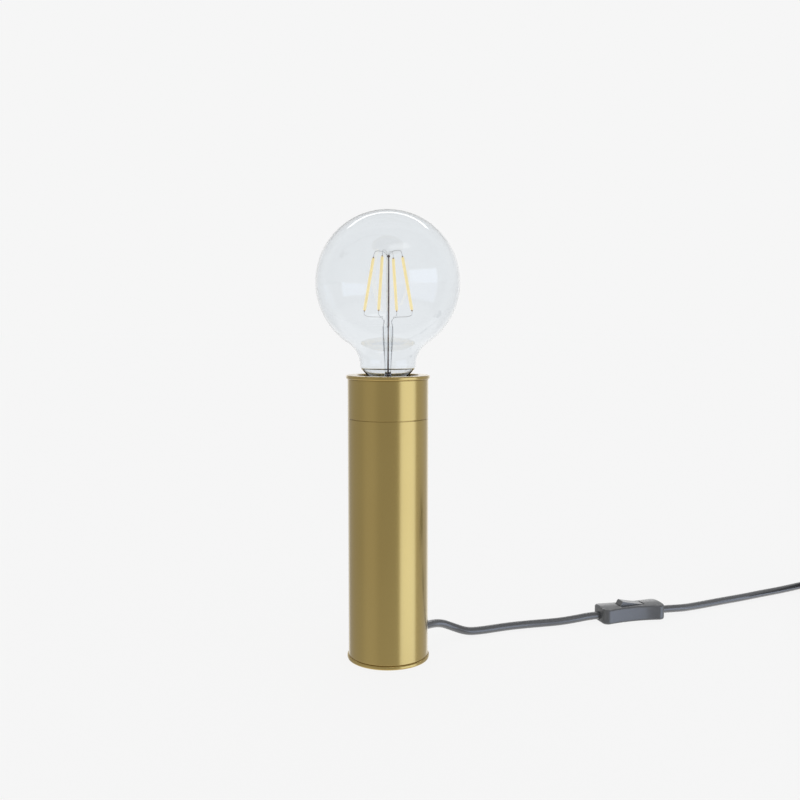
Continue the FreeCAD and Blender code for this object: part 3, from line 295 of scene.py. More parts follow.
def rounded(corners, radii, steps=6, guard=0.3 * mm):
    """
    A closed outline whose corners are arcs.

    The arc at a corner is centred on its bisector at radius / sin(half the angle), starts and ends
    radius / tan(half the angle) from the corner, and has one more point beyond each end, guard away or a
    fifth of the side where that is less.
    """
    corners = np.asarray(corners, float)
    radii = np.maximum(np.broadcast_to(np.asarray(radii, float), len(corners)), sharpest)[:, None]
    to_last = np.roll(corners, 1, axis=0) - corners
    to_next = np.roll(corners, -1, axis=0) - corners
    last_length = np.linalg.norm(to_last, axis=1, keepdims=True)
    next_length = np.linalg.norm(to_next, axis=1, keepdims=True)
    to_last = to_last / last_length
    to_next = to_next / next_length
    angle = np.arccos(np.clip((to_last * to_next).sum(axis=1, keepdims=True), -1, 1))
    reach = radii / np.tan(angle / 2)
    bisector = to_last + to_next
    bisector = bisector / np.linalg.norm(bisector, axis=1, keepdims=True)
    centre = corners + bisector * radii / np.sin(angle / 2)
    start = (corners + to_last * reach - centre)[:, None, :]
    end = (corners + to_next * reach - centre)[:, None, :]
    share = np.linspace(0, 1, steps)[None, :, None]
    sweep = (math.pi - angle)[:, None, :]
    arcs = (np.sin((1 - share) * sweep) * start + np.sin(share * sweep) * end) / np.sin(sweep)
    before = corners + to_last * (reach + np.minimum(guard, 0.2 * last_length))
    after = corners + to_next * (reach + np.minimum(guard, 0.2 * next_length))
    points = np.concatenate([before[:, None], arcs + centre[:, None], after[:, None]], axis=1)
    return points.reshape(-1, corners.shape[1])


def skinned(rings, looped, ends=None):
    """
    Points and faces of a skin over rings of points (ring, place in the ring, xyz).

    Each face joins two neighbours on one ring to the same two on the next. The last ring joins the first if
    looped, and otherwise each end is a fan to its point in ends. Faces that would point inwards, which is
    where the enclosed volume comes out negative, are all turned round.
    """
    rows, columns = rings.shape[:2]
    row = np.arange(rows if looped else rows - 1)[:, None]
    column = np.arange(columns)[None, :]
    next_row = (row + 1) % rows
    next_column = (column + 1) % columns
    corners = [row * columns + column, row * columns + next_column]
    corners += [next_row * columns + next_column, next_row * columns + column]
    quads = np.stack(corners, axis=-1).reshape(-1, 4)
    points = rings.reshape(-1, 3)
    faces = quads.tolist()
    thirds = [quads[:, [0, 1, 2]], quads[:, [0, 2, 3]]]
    if ends is not None:
        first = np.arange(columns)
        turned_first = np.roll(first, -1)
        low_fan = np.stack([turned_first, first, np.full(columns, len(points))], axis=1)
        last = first + (rows - 1) * columns
        high_fan = np.stack([last, np.roll(last, -1), np.full(columns, len(points) + 1)], axis=1)
        points = np.vstack([points, ends])
        faces += low_fan.tolist() + high_fan.tolist()
        thirds += [low_fan, high_fan]
    a, b, c = (points[np.vstack(thirds)[:, i]] for i in range(3))
    if (a * np.cross(b, c)).sum() < 0:
        faces = [face[::-1] for face in faces]
    return points, faces


def turned(outline):
    """A closed outline of (radius, height) turned about the lamp's axis: (r cos t, r sin t, z)."""
    angle = np.linspace(0, 2 * math.pi, around_count, endpoint=False)[:, None]
    r, z = outline[None, :, 0], outline[None, :, 1]
    rings = np.stack([r * np.cos(angle), r * np.sin(angle), z + 0 * angle], axis=-1)
    return skinned(rings, looped=True)


def satin_brass():
    """Lacquered brass: fine turning lines all round, a slight drift in tone, and a clear coat over it."""
    dark_tone = (0.545, 0.389, 0.112)
    light_tone = (0.585, 0.428, 0.131)
    line_depth = 0.004 * mm
    lacquer = {"Coat Weight": 0.8, "Coat Roughness": 0.16, "Coat IOR": 1.6}
    finish = Finish("satin_brass", {"Metallic": 1.0, **lacquer})
    lines = finish.noise(1.0, 3.0, finish.lathe_place(5200, 2.2))
    drift = finish.noise(22, 2.0, finish.place((1, 1, 0.35)))
    tone = finish.mixed(drift.step(0.25, 0.75), dark_tone, light_tone)
    finish.set({"Base Color": tone, "Roughness": 0.2 + lines * 0.08})
    return finish.bump(lines, line_depth, 0.35).material


brass = satin_brass()


def place_in_lamp(piece, finish, slot, body, *replaced):
    """Give a new piece its finish and its body, and hide the nodes that it stands for. The slot is not used.
    """
    piece.data.materials.append(finish)
    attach(piece, body)
    if replaced:
        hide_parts(*replaced)
    return piece


foot_radius = 27.65 * mm
foot_low = 0.4 * mm
foot_top = 2.9 * mm
recess_radius = 23.1 * mm
recess_top = 1.2 * mm
spigot_radius = 25.15 * mm
spigot_inner = 23.65 * mm
spigot_top = foot_top + 4.0 * mm
hub_radius = 8.0 * mm
hub_hole = 5.05 * mm
hub_top = foot_top + 5.0 * mm
foot_rounding = np.array([0.1, 0.2, 0.8, 0.8, 0.05, 0.2, 0.2, 0.05, 0.1, 0.3, 0.1, 0.1]) * mm
foot_outline = rounded(
    [
        (recess_radius, recess_top),
        (recess_radius, foot_low),
        (foot_radius, foot_low),
        (foot_radius, foot_top),
        (spigot_radius, foot_top),
        (spigot_radius, spigot_top),
        (spigot_inner, spigot_top),
        (spigot_inner, foot_top),
        (hub_radius, foot_top),
        (hub_radius, hub_top),
        (hub_hole, hub_top),
        (hub_hole, recess_top),
    ],
    foot_rounding,
)
foot = put("brass_foot", *turned(foot_outline))
place_in_lamp(foot, brass, "brass_satin", "lamp", "base_flange")


def dress(finish, *names):
    """Give CAD nodes that keep their shape a finish."""
    for name in names:
        for material_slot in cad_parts[name].material_slots:
            material_slot.material = finish


def felt():
    """Pressed black felt: short tangled fibres."""
    finish = Finish("felt", {"Roughness": 0.95, "Specular IOR Level": 0.2})
    fibres = finish.noise(2600, 6.0)
    finish.set({"Base Color": finish.mixed(fibres, (0.012, 0.012, 0.013), (0.06, 0.06, 0.06))})
    return finish.bump(fibres, 0.15 * mm, 0.8).material


dress(felt(), "foot_pad")

# ---- Weight, rod and nuts inside the tube ----
# A cast weight drops over the foot's hub. A threaded rod runs up the axis, and its nuts clamp the weight to
# the foot, the bridge of the collar's sleeve to the rod, and the lampholder on top.


def cast_iron():
    """Painted casting: a pebbled skin, dark, with duller hollows."""
    finish = Finish("cast_iron", {"Metallic": 0.3})
    skin = finish.noise(900, 5.0)
    tone = finish.mixed(skin, (0.02, 0.02, 0.022), (0.07, 0.07, 0.072))
    finish.set({"Base Color": tone, "Roughness": 0.55 + skin * 0.3})
    return finish.bump(skin, 0.25 * mm, 0.7).material


def plated_metal(name, dark, light, roughness, grain=1400):
    """Plated or drawn metal: faint blotches in tone and sheen over a fine grain."""
    finish = Finish(name, {"Metallic": 1.0})
    cloud = finish.noise(160, 3.0)
    fine = finish.noise(grain, 4.0)
    finish.set({"Base Color": finish.mixed(cloud, dark, light), "Roughness": roughness + fine * 0.15})
    return finish.bump(fine, 0.01 * mm, 0.5).material


zinc = plated_metal("zinc_plate", (0.42, 0.43, 0.45), (0.62, 0.63, 0.64), 0.28)
dress(cast_iron(), "ballast_weight")
dress(zinc, "threaded_rod", "rod_nuts", "rod_washer", "crimp_ring", "terminal_screws")

# ---- Brass tube, collar and rim ----
# One drawn tube stands on the foot. Half a millimetre above it the shorter collar of the same tube follows,
# pushed on a hidden sleeve, and a turned rim with a wide hole closes it on top.

tube_radius = 26.75 * mm
tube_inner = 25.25 * mm
tube_edge = 0.18 * mm
tube_foot_edge = 0.45 * mm
seam_low = 162.25 * mm
seam_high = 162.75 * mm
collar_top = 188.3 * mm
rim_low = 188.6 * mm
rim_top = 191.1 * mm
rim_radius = 27.75 * mm
rim_hole = 20.5 * mm
rim_rounding = np.array([0.2, 0.7, 0.9, 0.35]) * mm
rim_spigot_low = 180.68 * mm
rim_spigot_top = rim_low + 0.5 * mm
rim_spigot_edge = 0.15 * mm


def brass_pipe(name, low, high, low_edge, node):
    """A length of tube: its wall's four corners, lightly broken, turned about the axis."""
    wall = [(tube_inner, low), (tube_radius, low), (tube_radius, high), (tube_inner, high)]
    pipe = put(name, *turned(rounded(wall, [tube_edge, low_edge, tube_edge, tube_edge])))
    return place_in_lamp(pipe, brass, "brass_satin", "lamp", node)


brass_pipe("brass_tube", foot_top, seam_low, tube_foot_edge, "lower_tube")
brass_pipe("brass_collar", seam_high, collar_top, tube_edge, "upper_collar")
rim_section = [(rim_hole, rim_low), (rim_radius, rim_low), (rim_radius, rim_top), (rim_hole, rim_top)]
rim = put("brass_rim", *turned(rounded(rim_section, rim_rounding)))
place_in_lamp(rim, brass, "brass_satin", "lamp", "top_rim")
spigot_section = [
    (spigot_inner, rim_spigot_low),
    (spigot_radius, rim_spigot_low),
    (spigot_radius, rim_spigot_top),
    (spigot_inner, rim_spigot_top),
]
spigot = put("brass_rim_spigot", *turned(rounded(spigot_section, rim_spigot_edge)))
place_in_lamp(spigot, brass, "brass_satin", "lamp")
dress(brass, "coupler_sleeve")

# ---- Lampholder ----
# A black moulded holder sunk in the collar: a cup with the terminals, a sleeve round the plated screw shell,
# and a flat ring that centres it under the rim.


def moulded(name, dark, light, roughness, grain=1800, depth=0.012 * mm, coat=0.0, coat_index=1.5):
    """Moulded plastic: a fine spark-eroded grain, and a slow drift in sheen from the mould's flow."""
    polish = {"Coat Weight": coat, "Coat Roughness": 0.14, "Coat IOR": coat_index}
    finish = Finish(name, polish)
    fine = finish.noise(grain, 3.0)
    flow = finish.noise(45, 2.0)
    finish.set({"Base Color": finish.mixed(flow, dark, light), "Roughness": roughness + flow * 0.12})
    return finish.bump(fine, depth, 0.6).material


black_plastic = moulded("black_moulding", (0.010, 0.010, 0.011), (0.018, 0.018, 0.019), 0.34)
bare_brass = plated_metal("bare_brass", (0.66, 0.5, 0.2), (0.83, 0.66, 0.31), 0.22)
nickel_shell = plated_metal("nickel_shell", (0.55, 0.53, 0.49), (0.72, 0.7, 0.65), 0.2)
holder_radius = 18.5 * mm
holder_top = 187.6 * mm
holder_low = 153.0 * mm
skirt_radius = 16.5 * mm
skirt_top = 158.0 * mm
shell_gap_radius = 14.4 * mm
sleeve_rounding = np.array([0.2, 0.2, 0.7, 0.3, 0.2, 0.2]) * mm
ring_radius = 22.5 * mm
ring_hole = 18.6 * mm
ring_low = 186.0 * mm
ring_rounding = 0.3 * mm
sleeve_outline = rounded(
    [
        (skirt_radius, holder_low),
        (holder_radius, holder_low),
        (holder_radius, holder_top),
        (shell_gap_radius, holder_top),
        (shell_gap_radius, skirt_top),
        (skirt_radius, skirt_top),
    ],
    sleeve_rounding,
)
sleeve = put("holder_outer_sleeve", *turned(sleeve_outline))
place_in_lamp(sleeve, black_plastic, "holder_black", "lamp", "holder_sleeve")
ring_wall = [(ring_hole, ring_low), (ring_radius, ring_low), (ring_radius, rim_low), (ring_hole, rim_low)]
centring_ring = put("holder_centring_ring", *turned(rounded(ring_wall, ring_rounding)))
place_in_lamp(centring_ring, black_plastic, "holder_black", "lamp", "holder_ring")
dress(black_plastic, "holder_base", "terminal_block")
dress(bare_brass, "live_terminal", "neutral_terminal", "centre_contact", "side_contact")
dress(nickel_shell, "thread_shell")

# ---- Bulb: screw cap ----
# A thin nickel-plated cap with a round right-hand thread of 3.629 mm pitch, rolled on to the glass neck, with
# a black insulator and a brass eyelet at its foot.

cap_top = 188.0 * mm
cap_skirt_low = 184.5 * mm
cap_skirt_radius = 13.3 * mm
cap_low = 164.5 * mm
thread_pitch = 3.629 * mm
thread_zero = 156.1855 * mm
thread_mean = 12.575 * mm
thread_half_depth = 0.525 * mm
skirt_blend = 0.8 * mm
groove_drop = 1.0 * mm
groove_width = 0.35 * mm
groove_depth = 0.25 * mm
lip_height = 0.3 * mm
lip_depth = 0.25 * mm
cap_inner = 11.4 * mm
inner_wall_start = cap_top - 2.0 * mm
inner_wall_end = cap_top - 1.9 * mm
cap_around = 128
cap_rows = 150


def screw_cap():
    """
    The cap: an inner wall, a smooth skirt above and the thread below it.

    At height z and angle t the thread's radius is its mean plus half its depth times cos(t - a), where a
    grows by one turn for each pitch of height. The skirt's own radius, less a groove of exp(-d squared), is
    blended in along s squared (3 - 2 s). The lip draws in as the square of the height within it.
    """
    angle = np.linspace(0, 2 * math.pi, cap_around, endpoint=False)[:, None]
    z = np.linspace(cap_low, cap_top, cap_rows)
    thread = thread_mean + thread_half_depth * np.cos(angle - 2 * math.pi * (z - thread_zero) / thread_pitch)
    skirt = np.clip((z - cap_skirt_low + skirt_blend) / skirt_blend, 0, 1)
    skirt = skirt * skirt * (3 - 2 * skirt)
    groove = groove_depth * np.exp(-(((z - cap_top + groove_drop) / groove_width) ** 2))
    lip = lip_depth * np.clip((z - cap_top + lip_height) / lip_height, 0, 1) ** 2
    outer = thread * (1 - skirt) + (cap_skirt_radius - groove) * skirt - lip
    inner = np.full((cap_around, 2), cap_inner)
    radius = np.concatenate([inner, outer, inner], axis=1)
    height = np.concatenate([[inner_wall_start, cap_low], z, [cap_top, inner_wall_end]])
    rings = np.stack([radius * np.cos(angle), radius * np.sin(angle), height[None] + 0 * angle], axis=-1)
    return skinned(rings, looped=True)


cap = put("bulb_screw_cap", *screw_cap())
cap_metal = plated_metal("cap_nickel", (0.56, 0.55, 0.53), (0.75, 0.74, 0.71), 0.16)
place_in_lamp(cap, cap_metal, "cap_metal", "bulb", "bulb_cap")
cap_black = moulded("cap_insulation", (0.006, 0.006, 0.007), (0.012, 0.012, 0.012), 0.15, coat=0.4)
board_green = moulded("circuit_board", (0.012, 0.075, 0.03), (0.03, 0.13, 0.055), 0.35, grain=700)
dress(cap_black, "cap_insulator")
dress(bare_brass, "cap_contact")
dress(board_green, "driver_board")

# ---- Bulb: blown glass ----
# A clear globe of 95 mm, blown in a mould, with a short neck that closes in a cone above the cap. The wall is
# 0.8 mm thick, and the neck's end is cemented into the cap.

globe_radius = 47.5 * mm
globe_centre = 251.56 * mm
neck_radius = 18.5 * mm
neck_drop = 54.0 * mm
neck_rise = 7.8 * mm
neck_corner = 3.0 * mm
neck_end_radius = 10.9 * mm
neck_end_low = cap_top - 3.0 * mm
neck_end_bend = 0.4 * mm
neck_end_rise = 0.45 * mm
glass_wall = 0.8 * mm
glass_around = 224
crown_angle = math.pi / 2 * 0.985


def bulb_profile(inset):
    """
    (radius, height) of the bulb's face moved inwards by inset, from its crown down to its open end.

    A circle for the globe meets the outside of a circle whose centre stands beside the neck, tangent to both
    the globe and the neck. Below it the neck is straight, and then turns on a small arc into a cone.
    """
    bend = (neck_radius**2 + neck_drop**2 - globe_radius**2) / (2 * (globe_radius - neck_radius))
    bend_r = neck_radius + bend
    bend_z = globe_centre - neck_drop
    low = math.atan2(neck_drop, bend_r)
    globe_angle = np.linspace(crown_angle, -low, 70)
    globe = (globe_radius - inset) * np.stack([np.cos(globe_angle), np.sin(globe_angle)], 1)
    globe[:, 1] += globe_centre
    bend_angle = np.linspace(math.pi - low, math.pi, 30)[1:]
    curve = (bend + inset) * np.stack([np.cos(bend_angle), np.sin(bend_angle)], 1) + (bend_r, bend_z)
    slope = math.atan2(neck_radius - neck_end_radius, neck_rise)
    corner_z = cap_top + neck_rise + inset * math.tan(slope / 2)
    small = neck_corner - inset
    turn_z = corner_z + small * math.tan(slope / 2)
    small_angle = np.linspace(0, -slope, 10)
    turn_r = neck_radius - inset - small
    corner = small * np.stack([np.cos(small_angle), np.sin(small_angle)], 1) + (turn_r, turn_z)
    cone_z = cap_top + inset * math.tan(slope / 2)
    end_r = neck_end_radius - inset
    bend_start = (end_r + neck_end_bend, cone_z + neck_end_rise)
    bend_end = (end_r, cone_z - neck_end_bend)
    return np.vstack([globe, curve, corner, [bend_start, bend_end, (end_r, neck_end_low)]])


def blown_bulb():
    """Both faces of the glass as one skin, joined at the open end, each face closed at the crown by a fan."""
    outside = bulb_profile(0.0)
    inside = bulb_profile(glass_wall)[::-1]
    r, z = np.vstack([outside, inside]).T[:, :, None]
    angle = np.linspace(0, 2 * math.pi, glass_around, endpoint=False)
    rings = np.stack([r * np.cos(angle), r * np.sin(angle), z + 0 * angle], axis=-1)
    crowns = [(0, 0, globe_centre + globe_radius), (0, 0, globe_centre + globe_radius - glass_wall)]
    return skinned(rings, looped=False, ends=crowns)


def clear_glass():
    """Clear soda glass, a breath of blue-green in its depth and a faint waviness from blowing."""
    sockets = {"Base Color": (0.93, 0.95, 0.965), "Roughness": 0.0, "IOR": 1.5, "Transmission Weight": 1.0}
    finish = Finish("clear_glass", sockets)
    waves = finish.noise(28, 1.0)
    return finish.bump(waves, 0.12 * mm, 0.25).material


glass = clear_glass()
bulb = put("bulb_globe", *blown_bulb())
place_in_lamp(bulb, glass, "clear_glass", "bulb", "bulb_glass")

# ---- Bulb: stem, support and filaments ----
# A glass stem is melted into the neck and pressed flat at its top, where two feed wires come through. A dark
# support wire in a glass rod stands on it. Four filaments, thin strips coated in yellow phosphor, lean from
# the rod's head out to the feed wires.

stem_waist = 2.05 * mm
press_top = 223.0 * mm
press_half_width = 3.55 * mm
press_half_thick = 1.6 * mm
press_shoulder = press_top - 0.5 * mm
press_blend_speed = 1.15
stem_bottom = 177.0 * mm
rod_top = 268.4 * mm
rod_radius = 1.05 * mm


def glass_stem():
    """
    Rings of the stem from its foot up: x = a cos t, y = b sin t, with half widths a and b given by height.

    Both are equal in the tube and the flare. Above, a widens and b narrows to the flat press along s squared
    (3 - 2 s). The flare's rows are widths in stem waists at heights in millimetres.
    """
    flare = [(0.6, 0.0), (0.95, 0.3), (1.0, 1.0), (1.0, 6.6), (1.6, 7.4), (4.45, 7.75), (4.65, 7.9)]
    flare += [(4.68, 8.3), (3.9, 9.2), (2.4, 10.9), (1.6, 12.2), (1.2, 13.6), (1.05, 15.0), (1.0, 16.4)]
    flare = np.array(flare) * (stem_waist, 1.0 * mm) + (0, stem_bottom)
    share = np.linspace(0, 1, 28)
    blend = np.clip(share * press_blend_speed, 0, 1)
    blend = blend * blend * (3 - 2 * blend)
    neck_z = flare[-1, 1] + share[1:] * (press_shoulder - flare[-1, 1])
    wide = stem_waist + (press_half_width - stem_waist) * blend[1:]
    thick = stem_waist + (press_half_thick - stem_waist) * blend[1:]
    crown = np.array([(0.98, 0.3), (0.9, 0.47)])
    a = np.concatenate([flare[:, 0], wide, crown[:, 0] * wide[-1]])[:, None]
    b = np.concatenate([flare[:, 0], thick, crown[:, 0] * thick[-1] * 0.96])[:, None]
    z = np.concatenate([flare[:, 1], neck_z, press_shoulder + crown[:, 1] * mm])[:, None]
    angle = np.linspace(0, 2 * math.pi, 64, endpoint=False)
    rings = np.stack([a * np.cos(angle), b * np.sin(angle), z + 0 * angle], axis=-1)
    return skinned(rings, looped=False, ends=[(0, 0, stem_bottom), (0, 0, press_top)])


def flowing_line(corners, steps=8):
    """The smooth line that corners pull towards themselves: a cubic B-spline with its ends tripled."""
    corners = np.asarray(corners, float)
    padded = np.concatenate([np.repeat(corners[:1], 2, 0), corners, np.repeat(corners[-1:], 2, 0)])
    windows = np.lib.stride_tricks.sliding_window_view(padded, 4, axis=0)
    t = np.linspace(0, 1, steps, endpoint=False)[:, None]
    weights = np.hstack([(1 - t) ** 3, 3 * t**3 - 6 * t**2 + 4, -3 * t**3 + 3 * t**2 + 3 * t + 1, t**3]) / 6
    return np.vstack([np.einsum("mck,sk->msc", windows, weights).reshape(-1, 3), corners[-1:]])


def rod_along(line, radius, sideways, around=12, cap_share=1.0):
    """
    A round rod along a line: at each point a circle across the line's direction, closed by rounded ends.

    The circle's axes are the direction crossed with sideways, and the direction crossed with that again. The
    radius is the same all along, and falls over each end as the square root of 1 - s squared. An end is
    cap_share of the radius long.
    """
    line = np.asarray(line, float)
    way = np.gradient(line, axis=0)
    way /= np.linalg.norm(way, axis=1, keepdims=True)
    s = np.sin(np.linspace(0, math.pi / 2, 5)[1:-1])[:, None]
    start = line[0] - way[0] * radius * cap_share * s[::-1]
    end = line[-1] + way[-1] * radius * cap_share * s
    centres = np.vstack([start, line, end])
    ways = np.vstack([np.repeat(way[:1], len(s), 0), way, np.repeat(way[-1:], len(s), 0)])
    shrink = np.sqrt(1 - s**2)[:, 0]
    radii = radius * np.concatenate([shrink[::-1], np.ones(len(line)), shrink])
    across = np.cross(ways, sideways)
    across /= np.linalg.norm(across, axis=1, keepdims=True)
    other = np.cross(ways, across)
    angle = np.linspace(0, 2 * math.pi, around, endpoint=False)[None, :, None]
    ring = np.cos(angle) * across[:, None] + np.sin(angle) * other[:, None]
    rings = centres[:, None] + ring * radii[:, None, None]
    tips = [line[0] - way[0] * radius * cap_share, line[-1] + way[-1] * radius * cap_share]
    return skinned(rings, looped=False, ends=tips)


def together(shapes):
    """Several point and face lists as one, each one's faces counted on from the points before it."""
    points, faces, count = [], [], 0
    for shape_points, shape_faces in shapes:
        points.append(np.asarray(shape_points))
        faces += [[corner + count for corner in face] for face in shape_faces]
        count += len(shape_points)
    return np.vstack(points), faces


def ball(centre, radius, around=20):
    """A sphere: rings of radius r sin p at height r cos p, p from pole to pole."""
    p = np.linspace(0, math.pi, 14)[1:-1][:, None]
    angle = np.linspace(0, 2 * math.pi, around, endpoint=False)
    rings = np.stack([np.sin(p) * np.cos(angle), np.sin(p) * np.sin(angle), np.cos(p) + 0 * angle], axis=-1)
    rings = rings * radius + np.asarray(centre)
    top = np.asarray(centre) + (0, 0, radius)
    bottom = np.asarray(centre) - (0, 0, radius)
    return skinned(rings, looped=False, ends=[top, bottom])


stem = put("bulb_stem", *glass_stem())
place_in_lamp(stem, glass, "clear_glass", "bulb", "stem_glass")
rod_line = np.linspace((0, 0, press_top + 0.2 * mm), (0, 0, rod_top), 30)
glass_rod = put("bulb_glass_rod", *rod_along(rod_line, rod_radius, (1, 0, 0), 32))
place_in_lamp(glass_rod, glass, "clear_glass", "bulb", "support_rod")

filament_radius = 0.95 * mm
filament_top_radius = 10.1 * mm
filament_bottom_radius = 16.8 * mm
filament_top_z = cap_top + 80.5 * mm
filament_bottom_z = filament_top_z - 35.48 * mm
filament_turns = {"left": 160.0, "front": 250.0, "back": 70.0, "right": 340.0}
hub = np.array([0.5 * mm, 0, cap_top + 80.8 * mm])
hub_ball_radius = 0.95 * mm
strip_end_gap = 1.1 * mm
wire_radius = 0.2 * mm
wire_grip = 1.3 * mm
tab_radius = 0.5 * mm
tab_length = 1.6 * mm
feed_radius = 0.33 * mm
feed_spread = 2.5 * mm
support_radius = 0.4 * mm
support_low = press_top - 37 * mm


def phosphor():
    """Silicone filled with yellow phosphor: soft and slightly mottled, with a faint painted glow that stands
    in for the light reaching it through the glass.
    """
    # Emission Strength and Emission Color are a painted glow, not light from the chips.
    finish = Finish("phosphor", {"Roughness": 0.45, "Emission Strength": 0.57})
    grains = finish.noise(900, 3.0)
    finish.set({"Base Color": finish.mixed(grains, (0.86, 0.68, 0.26), (0.93, 0.78, 0.38))})
    finish.set({"Emission Color": finish.mixed(grains, (1.0, 0.78, 0.38), (1.0, 0.85, 0.5))})
    return finish.bump(grains, 0.03 * mm, 0.5).material


phosphor_with_painted_glow = phosphor()
wire_grey = plated_metal("wire_nickel", (0.72, 0.72, 0.73), (0.86, 0.86, 0.86), 0.3)
wire_dark = plated_metal("support_steel", (0.14, 0.085, 0.08), (0.22, 0.14, 0.13), 0.4)
tab_copper = plated_metal("tab_copper", (0.55, 0.36, 0.2), (0.68, 0.47, 0.28), 0.45)
top_shapes = []
feed_shapes = []
tab_shapes = []
for side_name, degrees in filament_turns.items():
    out = np.array([math.cos(math.radians(degrees)), math.sin(math.radians(degrees)), 0.0])
    beside = np.array([-out[1], out[0], 0.0])
    top = out * filament_top_radius + (0, 0, filament_top_z)
    bottom = out * filament_bottom_radius + (0, 0, filament_bottom_z)
    along = (top - bottom) / np.linalg.norm(top - bottom)
    strip_line = np.linspace(bottom + along * strip_end_gap, top - along * strip_end_gap, 24)
    strip = put("filament_strip_" + side_name, *rod_along(strip_line, filament_radius, beside, 20, 0.6))
    place_in_lamp(strip, phosphor_with_painted_glow, "filament_yellow", "bulb", "filament_" + side_name)
    for tab_low in (bottom, top - along * tab_length):
        tab_line = np.linspace(tab_low, tab_low + along * tab_length, 4)
        tab_shapes.append(rod_along(tab_line, tab_radius, beside, 12, 0.4))
    over = [
        top - along * wire_grip,
        top + along * 0.6 * mm,
        top + along * 2.6 * mm,
        out * (filament_top_radius - 1.6 * mm) + (0, 0, hub[2] + 3.9 * mm),
        out * 5.2 * mm + (0, 0, hub[2] + 3.6 * mm),
        out * 2.6 * mm + (0, 0, hub[2] + 3.0 * mm),
        out * 1.2 * mm + (0, 0, hub[2] + 1.2 * mm),
        hub,
    ]
    top_shapes.append(rod_along(flowing_line(over), wire_radius, beside, 10))
    side = -1.0 if out[0] < 0 else 1.0
    knot = np.array([side * feed_spread, 0.0, press_top + 3.4 * mm])
    under = [
        bottom + along * wire_grip,
        bottom - along * 0.8 * mm,
        out * (filament_bottom_radius + 0.2 * mm) + (0, 0, filament_bottom_z - 2.6 * mm),
        out * (filament_bottom_radius - 2.6 * mm) + (0, 0, filament_bottom_z - 3.7 * mm),
        out * 7.5 * mm + (0, 0, filament_bottom_z - 3.8 * mm),
        (side * 4.2 * mm, 0, filament_bottom_z - 4.0 * mm),
        knot + (side * 0.9 * mm, 0, 1.4 * mm),
        knot,
    ]
    feed_shapes.append(rod_along(flowing_line(under), wire_radius, beside, 10))
for side in (-1.0, 1.0):
    feed = [
        (side * feed_spread, 0, press_top + 3.8 * mm),
        (side * feed_spread, 0, press_top + 2.4 * mm),
        (side * 3.0 * mm, 0, press_top + 1.0 * mm),
        (side * 2.9 * mm, 0, press_top - 1.0 * mm),
        (side * 2.6 * mm, 0, press_top - 8.0 * mm),
        (side * 1.45 * mm, 0, press_top - 32.0 * mm),
        (side * 1.2 * mm, 0, press_top - 40.0 * mm),
    ]
    feed_shapes.append(rod_along(flowing_line(feed), feed_radius, (0, 1, 0), 12))
top_wires = put("filament_top_wires", *together(top_shapes))
place_in_lamp(top_wires, wire_grey, "bulb_wire", "bulb", "top_wires")
feed_wires = put("filament_feed_wires", *together(feed_shapes))
place_in_lamp(feed_wires, wire_grey, "bulb_wire", "bulb", "lead_wires")
support_line = np.linspace((0, 0, support_low), hub, 60)
support_shapes = [rod_along(support_line, support_radius, (1, 0, 0), 12), ball(hub, hub_ball_radius)]
support_wire = put("filament_support_wire", *together(support_shapes))
place_in_lamp(support_wire, wire_dark, "bulb_wire", "bulb")
tabs = put("filament_end_tabs", *together(tab_shapes))
place_in_lamp(tabs, tab_copper, "bulb_wire", "bulb")

# ---- Where the lead leaves ----
# A tapered strain relief of the lead's own dark grey plastic grips the tube's wall low at the back. A crimped
# ring holds the lead's sheath inside, and its two cores rise to the lampholder.

lead_plastic = moulded(
    "lead_sheath",
    (0.092, 0.097, 0.106),
    (0.106, 0.111, 0.121),
    0.3,
    grain=900,
    depth=0.006 * mm,
    coat=1.0,
    coat_index=1.8,
)
brown_plastic = moulded("brown_core", (0.16, 0.07, 0.03), (0.2, 0.09, 0.04), 0.4)
blue_plastic = moulded("blue_core", (0.03, 0.13, 0.36), (0.05, 0.17, 0.42), 0.4)
dress(lead_plastic, "exit_bush", "inner_lead", "switch_lead_ends")
dress(brown_plastic, "live_core", "switch_wires")
dress(blue_plastic, "neutral_core")

# ---- Lead ----
# A round PVC lead of 5.8 mm. It comes straight out of the strain relief, sinks to the table and runs in a
# loose curve to the switch. Beyond the switch it goes on to the spare length, wound in a tied coil of four
# layers, and from the top of the coil to the plug.

lead_radius = 2.9 * mm
floor_z = 2.92 * mm
end_run = 8.0 * mm
exit_turn = 45.0
exit_height = 12.8 * mm
exit_reach = 35.0 * mm
switch_turn = 15.7
switch_middle = np.array([183.4, 80.5, 5.0]) * mm
switch_half = 26.0 * mm
plug_turn = 180.0
plug_place = np.array([398.0, 70.0, 6.85]) * mm


def level(degrees, length):
    """A level step of a length in a direction."""
    return np.array([math.cos(math.radians(degrees)), math.sin(math.radians(degrees)), 0.0]) * length


lamp_end = level(exit_turn, exit_reach) + (0, 0, exit_height)
near_end = switch_middle - level(switch_turn, switch_half)
far_end = switch_middle + level(switch_turn, switch_half)
first_middle = [
    (38.0, 36.2, 11.2),
    (46.0, 39.3, 7.3),
    (56.0, 40.9, 3.4),
    (66.6, 44.6, 2.92),
    (77.2, 49.4, 2.92),
    (89.0, 54.4, 2.92),
    (102.0, 58.4, 2.92),
    (116.0, 61.8, 2.92),
    (128.0, 64.6, 3.1),
    (140.2, 67.7, 4.1),
]
second_middle = [
    (228.5, 95.0, 3.9),
    (241.5, 103.4, 2.92),
    (256.0, 111.0, 2.92),
    (271.0, 118.7, 2.92),
    (288.0, 127.0, 2.92),
    (306.0, 137.0, 2.92),
    (325.0, 146.6, 2.92),
    (343.0, 156.4, 3.22),
]
third_middle = [
    (443.5, 134.7, 21.2),
    (448.8, 121.6, 17.1),
    (450.2, 107.9, 11.6),
    (446.6, 94.5, 6.4),
    (439.4, 83.7, 3.4),
    (429.4, 75.6, 2.92),
    (417.5, 71.1, 5.1),
]

